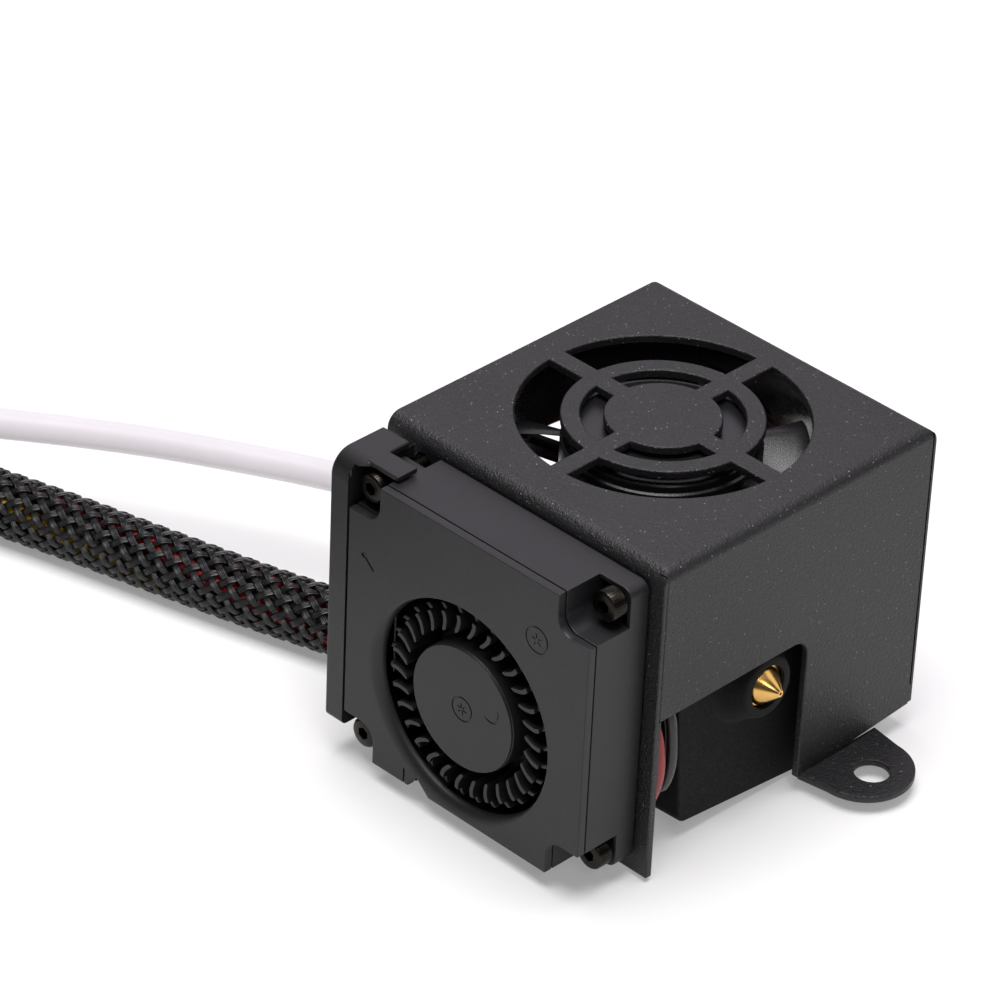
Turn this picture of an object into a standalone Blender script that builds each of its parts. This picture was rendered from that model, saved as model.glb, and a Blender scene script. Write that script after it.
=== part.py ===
"""A hotend assembly for a 3D printer, lying on its back with the fan grille up.

Lengths below are in millimetres; the scene is in metres, +Z up. In the design frame the
blower is on the -X side, the nozzle points to -Y, the cords leave towards +Y and z = 0 is
the side plate's lower edge. The sock's lowest corner reaches the floor just below that.
"""

from math import acos, atan2, ceil, cos, hypot, pi, radians, sin, tau

import bmesh
import bpy
from mathutils import Matrix, Vector
from mathutils.geometry import interpolate_bezier

MM = 0.001
GAP = 0.3  # clearance kept between touching pieces

# Driving dimensions ---------------------------------------------------------------------

# Fan cover: folded steel sheet
COVER_X, COVER_Y, COVER_Z = 47.4, 45.9, 43.7
SHEET = 1.0
BEND_SIDE, BEND_FRONT = 2.0, 1.5
CORNER_SLIT = 0.25
SIDE_LOW = 3.3  # lower edge of the +X wall
WINDOW_X, WINDOW_Z, WINDOW_ROUND = 26.5, 22.6, 2.6
EAR_X, EAR_Y, EAR_ROUND = 34.1, -4.0, 6.4
EAR_ROOT = 7.1
EAR_HOLE_Y, EAR_HOLE = -5.4, 2.2
EAR_LOW = 1.1

# Grille and axial fan
FAN_X, FAN_Y = 24.6, 23.8
GRILLE_OUT, RING_OUT, RING_IN, DISC = 17.9, 12.4, 10.0, 7.2
SPOKE = 2.7
FAN_SIDE, FAN_DEPTH, FAN_BORE = 40.0, 10.0, 19.0
FAN_HOLES = 16.0  # from the axis, along X and along Y
HUB, BLADE_TIP = 12.3, 18.4
FAN_BLADES = 7
FAN_REST = 46.9  # the first blade's angle at rest

# Blower: its own frame has +Z outwards, +X up the side plate and +Y as in the design frame
BLOWER_Y, BLOWER_Z = 21.94, 17.94  # impeller axis
BLOWER_DEEP = 9.7
BODY_Y = (2.06 - BLOWER_Y, 41.76 - BLOWER_Y)
BODY_X = (2.0 - BLOWER_Z, 42.0 - BLOWER_Z)
POCKET, POCKET_ROUND = 5.1, 2.2
WALL = 1.2
LID = 1.2
INTAKE = 14.05
IMPELLER, IMPELLER_HUB, BLADE_IN = 13.7, 8.34, 10.2
IMPELLER_BLADES = 30
SCREW_INSET = 2.15
SCREW_R, SCREW_HEAD_R, SCREW_HEAD, NUT_FLATS = 1.0, 1.95, 2.1, 4.0
EAR_THICK, LUG_TOP = 3.0, 6.0
DUCT_LOW, DUCT_HIGH, DUCT_ROUND = 4.7, 43.0, 3.0  # along Z in the design frame

# Hotend: its own frame has its origin at the nozzle's tip and +Y along the filament path
TIP = (20.0, -1.74, 18.45)
PITCH, ROLL = -3.0, 4.0
TIP_FLAT, CONE_SLOPE = 0.5, 0.888
HEX_FLATS = 6.0
CONE_END, HEX_END, THREAD_END = 2.7, 7.1, 12.3
BLOCK_X, BLOCK_Z = (-9.0, 11.0), (-15.4, 4.6)
BLOCK_Y = (7.4, 17.4)
HEATER_AT = (12.4, -9.5)  # Y and Z of the cartridge's axis
HEATER_R, PROBE_Z = 3.0, -4.4
SINK_X, SINK_Z = 14.0, 7.3
SINK_Y = (20.0, 46.0)
FINS, FIN = 9, 1.3
M3, M6 = 1.5, 3.0
TUBE_R, TUBE_BORE = 2.0, 1.0
COLLET_TRAVEL_ROOM = 1.3

# Cords
HARNESS_R = 4.35
COIL_AT = (-70.0, 115.0)
HARNESS_COIL = (29.9, 48.2, 9.2)  # inner radius, outer radius, height
TUBE_COIL = (19.6, 24.6, 8.6)
COIL_STEPS = 28
END_COLLAR, END_COLLAR_R = 14.0, 4.6
PLUG = (14.2, 12.0, 8.6)  # width, length, height
PLUG_COLUMNS = (-4.8, -1.6, 1.6, 4.8)
PLUG_AT = (-49.0, 120.0)  # the end collar's end, on top of the coil

# The object's own box without its cords, whose bottom centre is the origin
BOX_X, BOX_Y, BOX_LOW = (-10.0, COVER_X), (-10.4, 53.79), -0.595

FINISHES = {
    "black_powder_coat": ((0.022, 0.022, 0.025), 0.55, 0.0),
    "black_matte_plastic": ((0.028, 0.028, 0.031), 0.55, 0.0),
    "black_gloss_plastic": ((0.012, 0.012, 0.014), 0.25, 0.0),
    "black_silicone": ((0.013, 0.013, 0.014), 0.6, 0.0),
    "brass": ((0.78, 0.52, 0.17), 0.28, 1.0),
    "red_anodised_aluminium": ((0.45, 0.03, 0.03), 0.35, 0.8),
    "aluminium": ((0.7, 0.7, 0.7), 0.4, 1.0),
    "black_steel": ((0.06, 0.055, 0.05), 0.35, 1.0),
    "steel": ((0.55, 0.55, 0.56), 0.3, 1.0),
    "nickel_plate": ((0.65, 0.64, 0.6), 0.25, 1.0),
    "white_ptfe": ((0.85, 0.85, 0.84), 0.35, 0.0),
    "copper_winding": ((0.6, 0.25, 0.1), 0.4, 1.0),
    "magnet": ((0.07, 0.07, 0.075), 0.6, 0.2),
    "red_wire": ((0.6, 0.03, 0.03), 0.4, 0.0),
    "black_wire": ((0.015, 0.015, 0.016), 0.4, 0.0),
    "yellow_wire": ((0.7, 0.45, 0.03), 0.4, 0.0),
    "braided_sleeve": ((0.02, 0.02, 0.022), 0.4, 0.0),
    "white_plug": ((0.75, 0.74, 0.7), 0.45, 0.0),
}


# Outlines -------------------------------------------------------------------------------

def arc(centre, radius, start, end, steps):
    """Points on an arc, from start to end in degrees."""
    angles = [radians(start + (end - start) * i / steps) for i in range(steps + 1)]
    return [(centre[0] + radius * cos(a), centre[1] + radius * sin(a)) for a in angles]


def circle(radius, steps, centre=(0.0, 0.0)):
    return arc(centre, radius, 0.0, 360.0, steps)[:-1]


def rectangle(x, y):
    return [(x[0], y[0]), (x[1], y[0]), (x[1], y[1]), (x[0], y[1])]


def rounded(corners, steps=4):
    """An outline through (x, y, radius) corners, each rounded by an arc of its radius."""
    outline = []
    for i, (x, y, radius) in enumerate(corners):
        corner = Vector((x, y))
        if not radius:
            outline.append((x, y))
            continue
        back = (Vector(corners[i - 1][:2]) - corner).normalized()
        ahead = (Vector(corners[(i + 1) % len(corners)][:2]) - corner).normalized()
        half = acos(max(-1.0, min(1.0, back.dot(ahead)))) / 2
        middle = corner + (back + ahead).normalized() * (radius / sin(half))
        first = corner + back * (radius / (sin(half) / cos(half)))
        last = corner + ahead * (radius / (sin(half) / cos(half)))
        begin = atan2(first.y - middle.y, first.x - middle.x)
        turn = atan2(last.y - middle.y, last.x - middle.x) - begin
        turn = (turn + pi) % tau - pi
        for k in range(steps + 1):
            angle = begin + turn * k / steps
            outline.append((middle.x + radius * cos(angle), middle.y + radius * sin(angle)))
    return outline


def hexagon(flats):
    return circle(flats / 2 / cos(pi / 6), 6)


# Solids: each returns a mesh in metres, in its own frame ---------------------------------

AXES = {
    "x": lambda u, v, h: (h, u, v),
    "y": lambda u, v, h: (u, h, v),
    "z": lambda u, v, h: (u, v, h),
}


def closed(bm):
    bmesh.ops.remove_doubles(bm, verts=bm.verts, dist=1e-7)
    bmesh.ops.recalc_face_normals(bm, faces=bm.faces)
    mesh = bpy.data.meshes.new("solid")
    bm.to_mesh(mesh)
    bm.free()
    return mesh


def prism(outline, low, high, axis="z"):
    """An outline pushed from low to high along an axis."""
    bm = bmesh.new()
    ends = [
        [bm.verts.new(Vector(AXES[axis](u, v, h)) * MM) for u, v in outline]
        for h in (low, high)
    ]
    for ring in ends:
        bm.faces.new(ring)
    for i in range(len(outline)):
        bm.faces.new((ends[0][i - 1], ends[0][i], ends[1][i], ends[1][i - 1]))
    return closed(bm)


def box(x, y, z):
    return prism(rectangle(x, y), z[0], z[1])


def turned(profile, steps, axis="z"):
    """A closed (radius, height) profile turned about an axis; radius 0 is on the axis."""
    bm = bmesh.new()
    rings = []
    for radius, height in profile:
        turns = circle(radius, steps) if radius else [(0.0, 0.0)]
        rings.append([bm.verts.new(Vector(AXES[axis](u, v, height)) * MM) for u, v in turns])
    for i, ring in enumerate(rings):
        other = rings[i - 1]
        for k in range(steps):
            pair = (ring[k % len(ring)], ring[(k + 1) % len(ring)])
            back = (other[(k + 1) % len(other)], other[k % len(other)])
            corners = list(dict.fromkeys(pair + back))
            if len(corners) > 2:
                bm.faces.new(corners)
    return closed(bm)


def cylinder(radius, low, high, steps=24, axis="z"):
    return turned([(0, low), (radius, low), (radius, high), (0, high)], steps, axis)


def sleeve(inner, outer, low, high, steps=24, axis="z"):
    return turned([(inner, low), (outer, low), (outer, high), (inner, high)], steps, axis)


def moved(mesh, offset=(0.0, 0.0, 0.0), degrees=0.0, axis="Z"):
    """The mesh turned about an axis through its origin, then moved."""
    turn = Matrix.Rotation(radians(degrees), 4, axis)
    mesh.transform(Matrix.Translation(Vector(offset) * MM) @ turn)
    return mesh


def merged(meshes):
    """Several solids that don't touch each other, as one mesh to join or cut with."""
    bm = bmesh.new()
    for mesh in meshes:
        bm.from_mesh(mesh)
        bpy.data.meshes.remove(mesh)
    mesh = bpy.data.meshes.new("solids")
    bm.to_mesh(mesh)
    bm.free()
    return mesh


def combined(mesh, operation, tools):
    """The mesh with each tool joined on (UNION), cut away (DIFFERENCE) or kept (INTERSECT)."""
    body = bpy.data.objects.new("body", mesh)
    bpy.context.scene.collection.objects.link(body)
    helpers = []
    for tool_mesh in tools:
        tool = bpy.data.objects.new("tool", tool_mesh)
        bpy.context.scene.collection.objects.link(tool)
        cut = body.modifiers.new("cut", "BOOLEAN")
        cut.operation = operation
        cut.solver = "EXACT"
        cut.object = tool
        helpers.append(tool)
    bpy.context.view_layer.update()
    result = bpy.data.meshes.new_from_object(
        body.evaluated_get(bpy.context.evaluated_depsgraph_get())
    )
    for helper in [body, *helpers]:
        bpy.data.objects.remove(helper)
    return result


def joined(mesh, *tools):
    return combined(mesh, "UNION", tools)


def cut(mesh, *tools):
    return combined(mesh, "DIFFERENCE", tools)


# Objects --------------------------------------------------------------------------------

def finish(name):
    """The Principled material of that name, made once."""
    material = bpy.data.materials.get(name)
    if material:
        return material
    colour, roughness, metallic = FINISHES[name]
    material = bpy.data.materials.new(name)
    material.use_nodes = True
    shader = material.node_tree.nodes["Principled BSDF"]
    shader.inputs["Base Color"].default_value = (*colour, 1.0)
    shader.inputs["Roughness"].default_value = roughness
    shader.inputs["Metallic"].default_value = metallic
    material.diffuse_color = (*colour, 1.0)
    return material


def frame(name, parent, place=(0.0, 0.0, 0.0), turn=(0.0, 0.0, 0.0)):
    """An empty that pieces hang from, placed in its parent's frame."""
    empty = bpy.data.objects.new(name, None)
    empty.empty_display_size = 0.005
    empty.location = Vector(place) * MM
    empty.rotation_euler = [radians(a) for a in turn]
    empty.parent = parent
    bpy.context.scene.collection.objects.link(empty)
    return empty


def piece(name, mesh, material, parent, place=(0.0, 0.0, 0.0), turn=(0.0, 0.0, 0.0)):
    """One named sub-part, in its parent's frame."""
    mesh.name = name
    mesh.shade_smooth()
    mesh.set_sharp_from_angle(angle=radians(32))
    mesh.materials.clear()
    mesh.materials.append(finish(material))
    made = bpy.data.objects.new(name, mesh)
    made.location = Vector(place) * MM
    made.rotation_euler = [radians(a) for a in turn]
    made.parent = parent
    bpy.context.scene.collection.objects.link(made)
    return made


def smooth_route(route, spacing):
    """Points about a spacing apart on a smooth curve through the route's own points."""
    points = [Vector(p) for p in route]
    curve = []
    for i in range(len(points) - 1):
        before = points[max(i - 1, 0)]
        after = points[min(i + 2, len(points) - 1)]
        span = (points[i + 1] - points[i]).length
        lead = (points[i + 1] - before).normalized() * span / 3
        tail = (after - points[i]).normalized() * span / 3
        count = max(2, ceil(span / spacing) + 1)
        curve += interpolate_bezier(
            points[i], points[i] + lead, points[i + 1] - tail, points[i + 1], count
        )[:-1]
    return curve + [points[-1]]


def cord(name, route, radius, material, parent, sides=2, spacing=None):
    """A round cord along a smooth curve through the route's points, with filled ends."""
    points = smooth_route(route, spacing or 5 * radius)
    curve = bpy.data.curves.new(name, "CURVE")
    curve.dimensions = "3D"
    curve.bevel_depth = radius * MM
    curve.bevel_resolution = sides
    curve.use_fill_caps = True
    spline = curve.splines.new("POLY")
    spline.points.add(len(points) - 1)
    for point, place in zip(spline.points, points):
        point.co = (*(place * MM), 1.0)
    curve.materials.append(finish(material))
    made = bpy.data.objects.new(name, curve)
    made.parent = parent
    bpy.context.scene.collection.objects.link(made)
    return made


# Fan cover ------------------------------------------------------------------------------

def screw_places():
    """Y and Z of the blower's four screws in the design frame."""
    low_y, high_y = (BODY_Y[0] + BLOWER_Y + SCREW_INSET, BODY_Y[1] + BLOWER_Y - SCREW_INSET)
    low_z, high_z = (BODY_X[0] + BLOWER_Z + SCREW_INSET, BODY_X[1] + BLOWER_Z - SCREW_INSET)
    return [(low_y, high_z), (low_y, low_z), (high_y, high_z), (high_y, low_z)]


def outer_shell_outline():
    """The folded sheet's outer side, from the -X plate over the top to the +X wall."""
    return (
        [(0.0, 0.0)]
        + arc((BEND_SIDE, COVER_Z - BEND_SIDE), BEND_SIDE, 180, 90, 5)
        + arc((COVER_X - BEND_SIDE, COVER_Z - BEND_SIDE), BEND_SIDE, 90, 0, 5)
        + [(COVER_X, SIDE_LOW)]
    )


def inner_shell_outline():
    inside = BEND_SIDE - SHEET
    return (
        [(COVER_X - SHEET, SIDE_LOW)]
        + arc((COVER_X - BEND_SIDE, COVER_Z - BEND_SIDE), inside, 0, 90, 5)
        + arc((BEND_SIDE, COVER_Z - BEND_SIDE), inside, 90, 180, 5)
        + [(SHEET, 0.0)]
    )


def grille_slots():
    """The four openings of each of the grille's two rings."""
    slots = []
    half = SPOKE / 2
    for inner, outer in ((RING_OUT, GRILLE_OUT), (DISC, RING_IN)):
        steps = 12 if outer == GRILLE_OUT else 7
        ends = [90 / (pi / 2) * acos(hypot(r * r - half * half) ** 0.5 / r) for r in (inner, outer)]
        slot = arc((0, 0), outer, ends[1], 90 - ends[1], steps)
        slot += arc((0, 0), inner, 90 - ends[0], ends[0], steps)
        for quarter in range(4):
            cutter = prism(slot, COVER_Z - 3, COVER_Z + 3)
            slots.append(moved(cutter, (FAN_X, FAN_Y, 0), 90 * quarter))
    return merged(slots)


def cover_front():
    """The -Y wall with its bend to the top, its window, its cut corner and its ear."""
    inside = BEND_FRONT - SHEET
    centre = (BEND_FRONT, COVER_Z - BEND_FRONT)
    bend = (
        [(0.0, EAR_LOW)]
        + arc(centre, BEND_FRONT, 180, 90, 5)
        + [(BEND_FRONT + 0.5, COVER_Z), (BEND_FRONT + 0.5, COVER_Z - SHEET)]
        + arc(centre, inside, 90, 180, 3)
        + [(SHEET, EAR_LOW)]
    )
    edge = SHEET + CORNER_SLIT
    wall = prism(bend, edge, COVER_X - edge, "x")
    window = prism(
        rounded([
            (-5.0, -5.0, 0),
            (WINDOW_X, -5.0, 0),
            (WINDOW_X, WINDOW_Z, WINDOW_ROUND),
            (-5.0, WINDOW_Z, 0),
        ]),
        -1.0, 3.0, "y",
    )
    corner = prism([(43.4, EAR_LOW - 1), (48.0, EAR_LOW - 1), (48.0, 4.2)], -1.0, 3.0, "y")
    envelope = prism(outer_shell_outline(), -1.0, COVER_Y, "y")
    wall = combined(cut(wall, window, corner), "INTERSECT", [envelope])
    ear = prism(
        [(EAR_X - EAR_ROOT, SHEET / 2)]
        + arc((EAR_X, EAR_Y), EAR_ROUND, 180, 360, 14)
        + [(EAR_X + EAR_ROOT, SHEET / 2)],
        EAR_LOW, EAR_LOW + SHEET,
    )
    hole = moved(cylinder(EAR_HOLE, -1, 4, 20), (EAR_X, EAR_HOLE_Y, 0))
    return cut(joined(wall, ear), hole)


def fan_cover(parent):
    shell = prism(outer_shell_outline() + inner_shell_outline(), 0.0, COVER_Y, "y")
    edge = SHEET + CORNER_SLIT
    front_strip = box((edge, COVER_X - edge), (-1.0, BEND_FRONT), (COVER_Z - 3, COVER_Z + 1))
    shell = joined(cut(shell, front_strip), cover_front())
    holes = [
        moved(cylinder(SCREW_R + GAP, -1, 2, 12, "x"), (0, y, z)) for y, z in screw_places()
    ]
    lead_hole = moved(cylinder(2.2, -1, 2, 12, "x"), (0, *LEAD_HOLE))
    shell = cut(shell, grille_slots(), merged([*holes, lead_hole]))
    studs = [
        moved(cylinder(M3, COVER_Z - 15.5, COVER_Z - SHEET / 2, 16), (x, y, 0))
        for x, y in stud_places()
    ]
    piece("fan_cover", joined(shell, merged(studs)), "black_powder_coat", parent)


# Axial fan ------------------------------------------------------------------------------

FAN_LOW = COVER_Z - SHEET - GAP - FAN_DEPTH
LEAD_HOLE = (34.2, 8.5)  # Y and Z of the side plate's hole for the blower's leads


def stud_places():
    """Two opposite corners of the fan, where welded studs hold it."""
    return [(FAN_X - FAN_HOLES, FAN_Y - FAN_HOLES), (FAN_X + FAN_HOLES, FAN_Y + FAN_HOLES)]


def fan_frame_mesh():
    half = FAN_SIDE / 2
    corners = [(-half, -half, 3), (half, -half, 3), (half, half, 3), (-half, half, 3)]
    body = prism(rounded(corners), 0, FAN_DEPTH)
    bore = cylinder(FAN_BORE, -1, FAN_DEPTH + 1, 40)
    spread = (-FAN_HOLES, FAN_HOLES)
    holes = [
        moved(cylinder(M3 + GAP, -1, FAN_DEPTH + 1, 12), (x, y, 0)) for x in spread for y in spread
    ]
    body = cut(body, bore, merged(holes))
    for turn in (15, 105, 195, 285):
        strut = moved(box((11.0, FAN_BORE + 0.4), (-1.1, 1.1), (0, 1.8)), degrees=turn)
        body = joined(body, strut)
    cup = turned([(2.5, 0), (12.2, 0), (12.2, 1.3), (3.2, 1.3), (3.2, 6.6), (2.5, 6.6)], 28)
    return joined(body, cup)


def fan_blade(inner, outer, low, high, lean, thick):
    """A pitched blade: at both radii it climbs from low to high while it turns by lean."""
    bm = bmesh.new()
    rings = []
    for radius, swing in ((inner, 0.0), (outer, 3.0)):
        corners = []
        for share in (0.0, 0.5, 1.0):
            angle = radians(swing + lean * share)
            height = low + (high - low) * (share + 0.25 * share * (1 - share))
            corners.append((angle, height))
        back = [(a, h + thick) for a, h in reversed(corners)]
        ring = [
            bm.verts.new(Vector((radius * cos(a), radius * sin(a), h)) * MM)
            for a, h in corners + back
        ]
        rings.append(ring)
        bm.faces.new(ring)
    for i in range(6):
        bm.faces.new((rings[0][i - 1], rings[0][i], rings[1][i], rings[1][i - 1]))
    return closed(bm)


def stator_mesh(inner, outer, low, high, poles=4):
    """A laminated stator: a round core with T-shaped poles."""
    outline = []
    neck, shoe = outer * 0.2, outer * 0.88
    core = inner + (outer - inner) * 0.3
    for pole in range(poles):
        turn = radians(360 / poles * pole)
        spread = 360 / poles / 2 - 9
        side = acos(neck / core) if neck < core else 0.4
        points = [(core * sin(side), -neck), (shoe, -neck)]
        points += arc((0, 0), outer, -spread, spread, 5)
        points += [(shoe, neck), (core * sin(side), neck)]
        outline += [
            (x * cos(turn) - y * sin(turn), x * sin(turn) + y * cos(turn)) for x, y in points
        ]
    return cut(prism(outline, low, high), cylinder(inner, low - 1, high + 1, 20))


def axial_fan(parent):
    place = (FAN_X, FAN_Y, FAN_LOW)
    piece("axial_fan_frame", fan_frame_mesh(), "black_gloss_plastic", parent, place)
    cup = turned(
        [(0, 8.6), (11.3, 8.6), (11.3, 2.0), (HUB, 2.0), (HUB, 9.2), (HUB - 0.4, 9.6), (0, 9.6)],
        36,
    )
    step = 360 / FAN_BLADES
    blades = [
        moved(fan_blade(HUB - 0.6, BLADE_TIP, 2.4, 6.6, 29, 0.9), degrees=FAN_REST + step * k)
        for k in range(FAN_BLADES)
    ]
    rotor = joined(cup, merged(blades))
    piece("axial_fan_rotor", rotor, "black_gloss_plastic", parent, place)
    piece("axial_fan_magnet", sleeve(9.8, 11.0, 2.4, 7.6, 28), "magnet", parent, place)
    piece("axial_fan_shaft", cylinder(1.0, 1.4, 8.3, 12), "steel", parent, place)
    piece("axial_fan_bearing", sleeve(1.3, 2.2, 1.0, 6.4, 16), "brass", parent, place)
    piece("axial_fan_stator", stator_mesh(3.5, 9.4, 2.6, 6.6), "copper_winding", parent, place)
    for k, (x, y) in enumerate(stud_places()):
        nut = cut(prism(hexagon(5.5), 0, 2.4), cylinder(M3 + GAP, -1, 4, 12))
        place = (x, y, FAN_LOW - GAP - 2.4)
        piece(f"fan_nut_{k + 1}", nut, "steel", parent, place)


# Blower ---------------------------------------------------------------------------------

def notched_outline(inset=0.0):
    """The blower body: a square whose corners give way to the screws' pockets."""
    (x0, x1), (y0, y1) = BODY_X, BODY_Y
    x0, x1, y0, y1 = x0 + inset, x1 - inset, y0 + inset, y1 - inset
    size, turn = POCKET, POCKET_ROUND
    return rounded([
        (x0 + size, y0, 0), (x1 - size, y0, 0), (x1 - size, y0 + size, turn),
        (x1, y0 + size, 0), (x1, y1 - size, 0), (x1 - size, y1 - size, turn),
        (x1 - size, y1, 0), (x0 + size, y1, 0), (x0 + size, y1 - size, turn),
        (x0, y1 - size, 0), (x0, y0 + size, 0), (x0 + size, y0 + size, turn),
    ])


def blower_screw_spots():
    """The four screws in the blower's frame; the last two also hold the air duct."""
    return [(z - BLOWER_Z, y - BLOWER_Y) for y, z in screw_places()]


def blower_base_mesh():
    corners = [(x, y, 1.4) for x, y in rectangle(BODY_X, BODY_Y)]
    plate = prism(rounded(corners), 0, EAR_THICK)
    body = joined(plate, prism(notched_outline(), 0, BLOWER_DEEP - LID - GAP))
    body = cut(body, prism(notched_outline(WALL), WALL, BLOWER_DEEP))
    holes = [
        moved(cylinder(SCREW_R + GAP, -1, 4, 12), (x, y, 0)) for x, y in blower_screw_spots()
    ]
    lead_hole = (LEAD_HOLE[1] - BLOWER_Z, LEAD_HOLE[0] - BLOWER_Y, 0)
    holes.append(moved(cylinder(1.8, -1, 2, 12), lead_hole))
    outlet = box((-9.0, 17.0), (BODY_Y[1] - 3, BODY_Y[1] + 3), (WALL, BLOWER_DEEP - LID - 1.0))
    body = cut(body, merged(holes), outlet)
    return joined(body, sleeve(2.1, 2.7, WALL / 2, 6.2, 20))


def blower_lid_mesh():
    low = BLOWER_DEEP - LID
    lid = prism(notched_outline(), low, BLOWER_DEEP)
    hole = turned(
        [(0, low - 1), (INTAKE, low - 1), (INTAKE, BLOWER_DEEP - 0.5),
         (INTAKE + 0.6, BLOWER_DEEP + 0.1), (INTAKE + 0.6, BLOWER_DEEP + 1), (0, BLOWER_DEEP + 1)],
        48,
    )
    slot = box((BODY_X[0] - 1, BODY_X[0] + 2.3), (8.6, 9.5), (low - 1, BLOWER_DEEP + 1))
    return cut(lid, hole, slot)


def impeller_blade():
    """A forward-curved blade, thin, between the impeller's two blade radii."""
    outline = []
    for side in (-0.25, 0.25):
        edge = []
        for share in (0.0, 0.5, 1.0):
            radius = BLADE_IN + (IMPELLER - BLADE_IN) * share
            angle = -0.22 * share * share + side / radius
            edge.append((radius * cos(angle), radius * sin(angle)))
        outline += edge if side < 0 else edge[::-1]
    return prism(outline, 2.6, BLOWER_DEEP - 0.8)


def impeller_mesh():
    cup = turned(
        [(0, 8.6), (IMPELLER_HUB - 1, 8.6), (IMPELLER_HUB - 1, 2.0), (IMPELLER, 2.0),
         (IMPELLER, 2.8), (IMPELLER_HUB, 2.8), (IMPELLER_HUB, 9.3), (IMPELLER_HUB - 0.4, 9.6),
         (0, 9.6)],
        40,
    )
    turn = 360 / IMPELLER_BLADES
    blades = [moved(impeller_blade(), degrees=turn * k) for k in range(IMPELLER_BLADES)]
    return joined(cup, merged(blades))


def air_duct_mesh():
    """The outlet's elbow: a hollow shell past the blower's end, with two screw lugs and an arm."""
    y0 = BODY_Y[1] + GAP
    y1 = y0 + 3.0
    x0, x1 = DUCT_LOW - BLOWER_Z, DUCT_HIGH - BLOWER_Z
    low, high = 1.1, BLOWER_DEEP
    lap, top = 40.45 - BLOWER_Y, BODY_X[1] + GAP  # the top plate laps over the blower's end
    profile = [(x0, low, 0), (x1, low, 0), (x1, high, DUCT_ROUND), (x0, high, 0.8)]
    shell = prism(rounded(profile), lap, y1, "y")
    beneath = box((x0 - 1, top), (lap - 1, y0), (low - 1, high + 1))
    corner = prism([(lap - 1, 7.6), (lap, 7.6), (y0 + 0.15, 9.3), (y0 + 0.15, 11), (lap - 1, 11)],
                   top - 1.5, x1 + 1, "x")
    shell = cut(shell, beneath, corner)
    hollow = box((x0 + 4.0, x1 - 6.0), (y0 - 1, y1 - 0.9), (low + 0.9, high - 1.1))
    mouth = box((x0 - 1, x0 + 5.0), (y0 + 0.8, y1 - 0.9), (low + 0.9, high - 1.1))
    body = cut(shell, hollow, mouth)
    for x, y in blower_screw_spots()[2:]:
        lug = joined(
            moved(cylinder(SCREW_HEAD_R, EAR_THICK + GAP, LUG_TOP, 16), (x, y, 0)),
            box((x - 1.2, x + 2.1), (y, y0 + 0.5), (EAR_THICK + GAP, LUG_TOP)),
        )
        body = joined(body, lug)
    arm = box((top, x1), (35.8 - BLOWER_Y, lap + 0.5), (4.45, 7.6))
    body = joined(body, arm)
    holes = [
        moved(cylinder(SCREW_R + GAP, 0, 8, 12), (x, y, 0)) for x, y in blower_screw_spots()[2:]
    ]
    return cut(body, merged(holes))


def cap_screw_mesh(head_low, reach):
    """A socket screw along Z: its head stands on head_low, its shank ends at reach."""
    rim = SCREW_HEAD_R
    head = turned(
        [(0, reach), (SCREW_R, reach), (SCREW_R, head_low), (rim, head_low),
         (rim, head_low + SCREW_HEAD - 0.25), (rim - 0.25, head_low + SCREW_HEAD),
         (0, head_low + SCREW_HEAD)],
        16,
    )
    return cut(head, prism(hexagon(1.5), head_low + 0.9, head_low + 3))


def blower(parent):
    mount = frame("blower_axis", parent, (-GAP, BLOWER_Y, BLOWER_Z), (0, -90, 0))
    piece("blower_base", blower_base_mesh(), "black_matte_plastic", mount)
    piece("blower_cover", blower_lid_mesh(), "black_matte_plastic", mount)
    piece("blower_impeller", impeller_mesh(), "black_matte_plastic", mount)
    piece("blower_magnet", sleeve(5.9, 7.0, 2.4, 7.6, 24), "magnet", mount)
    piece("blower_shaft", cylinder(0.75, 1.4, 8.3, 12), "steel", mount)
    piece("blower_bearing", sleeve(1.05, 1.8, 1.5, 6.0, 16), "brass", mount)
    piece("blower_stator", stator_mesh(3.0, 5.5, 2.6, 6.2), "copper_winding", mount)
    piece("air_duct", air_duct_mesh(), "black_gloss_plastic", mount)
    nut_end = -(SHEET + 2 * GAP + 2.0)
    for k, (x, y) in enumerate(blower_screw_spots()):
        seat = (EAR_THICK if k < 2 else LUG_TOP) + GAP
        screw = cap_screw_mesh(seat, nut_end - 0.4)
        piece(f"blower_screw_{k + 1}", screw, "black_steel", mount, (x, y, 0))
        hex_body = moved(prism(hexagon(NUT_FLATS), nut_end, nut_end + 2.0), degrees=30)
        nut = cut(hex_body, cylinder(SCREW_R + GAP, -8, 4, 12))
        piece(f"blower_nut_{k + 1}", nut, "steel", mount, (x, y, 0))


# Hotend ---------------------------------------------------------------------------------

def nozzle_mesh():
    cone = [(0.2, 0.0), (TIP_FLAT, 0.0), (TIP_FLAT + CONE_END * CONE_SLOPE, CONE_END)]
    cone += [(2.95, CONE_END), (2.95, THREAD_END), (TUBE_BORE, THREAD_END)]
    cone += [(TUBE_BORE, 2.2), (0.2, 0.8)]
    collar = cut(
        prism(hexagon(HEX_FLATS), CONE_END, HEX_END, "y"),
        cylinder(2.0, 0, HEX_END + 2, 16, "y"),
    )
    return joined(turned(cone, 24, "y"), collar)


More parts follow.
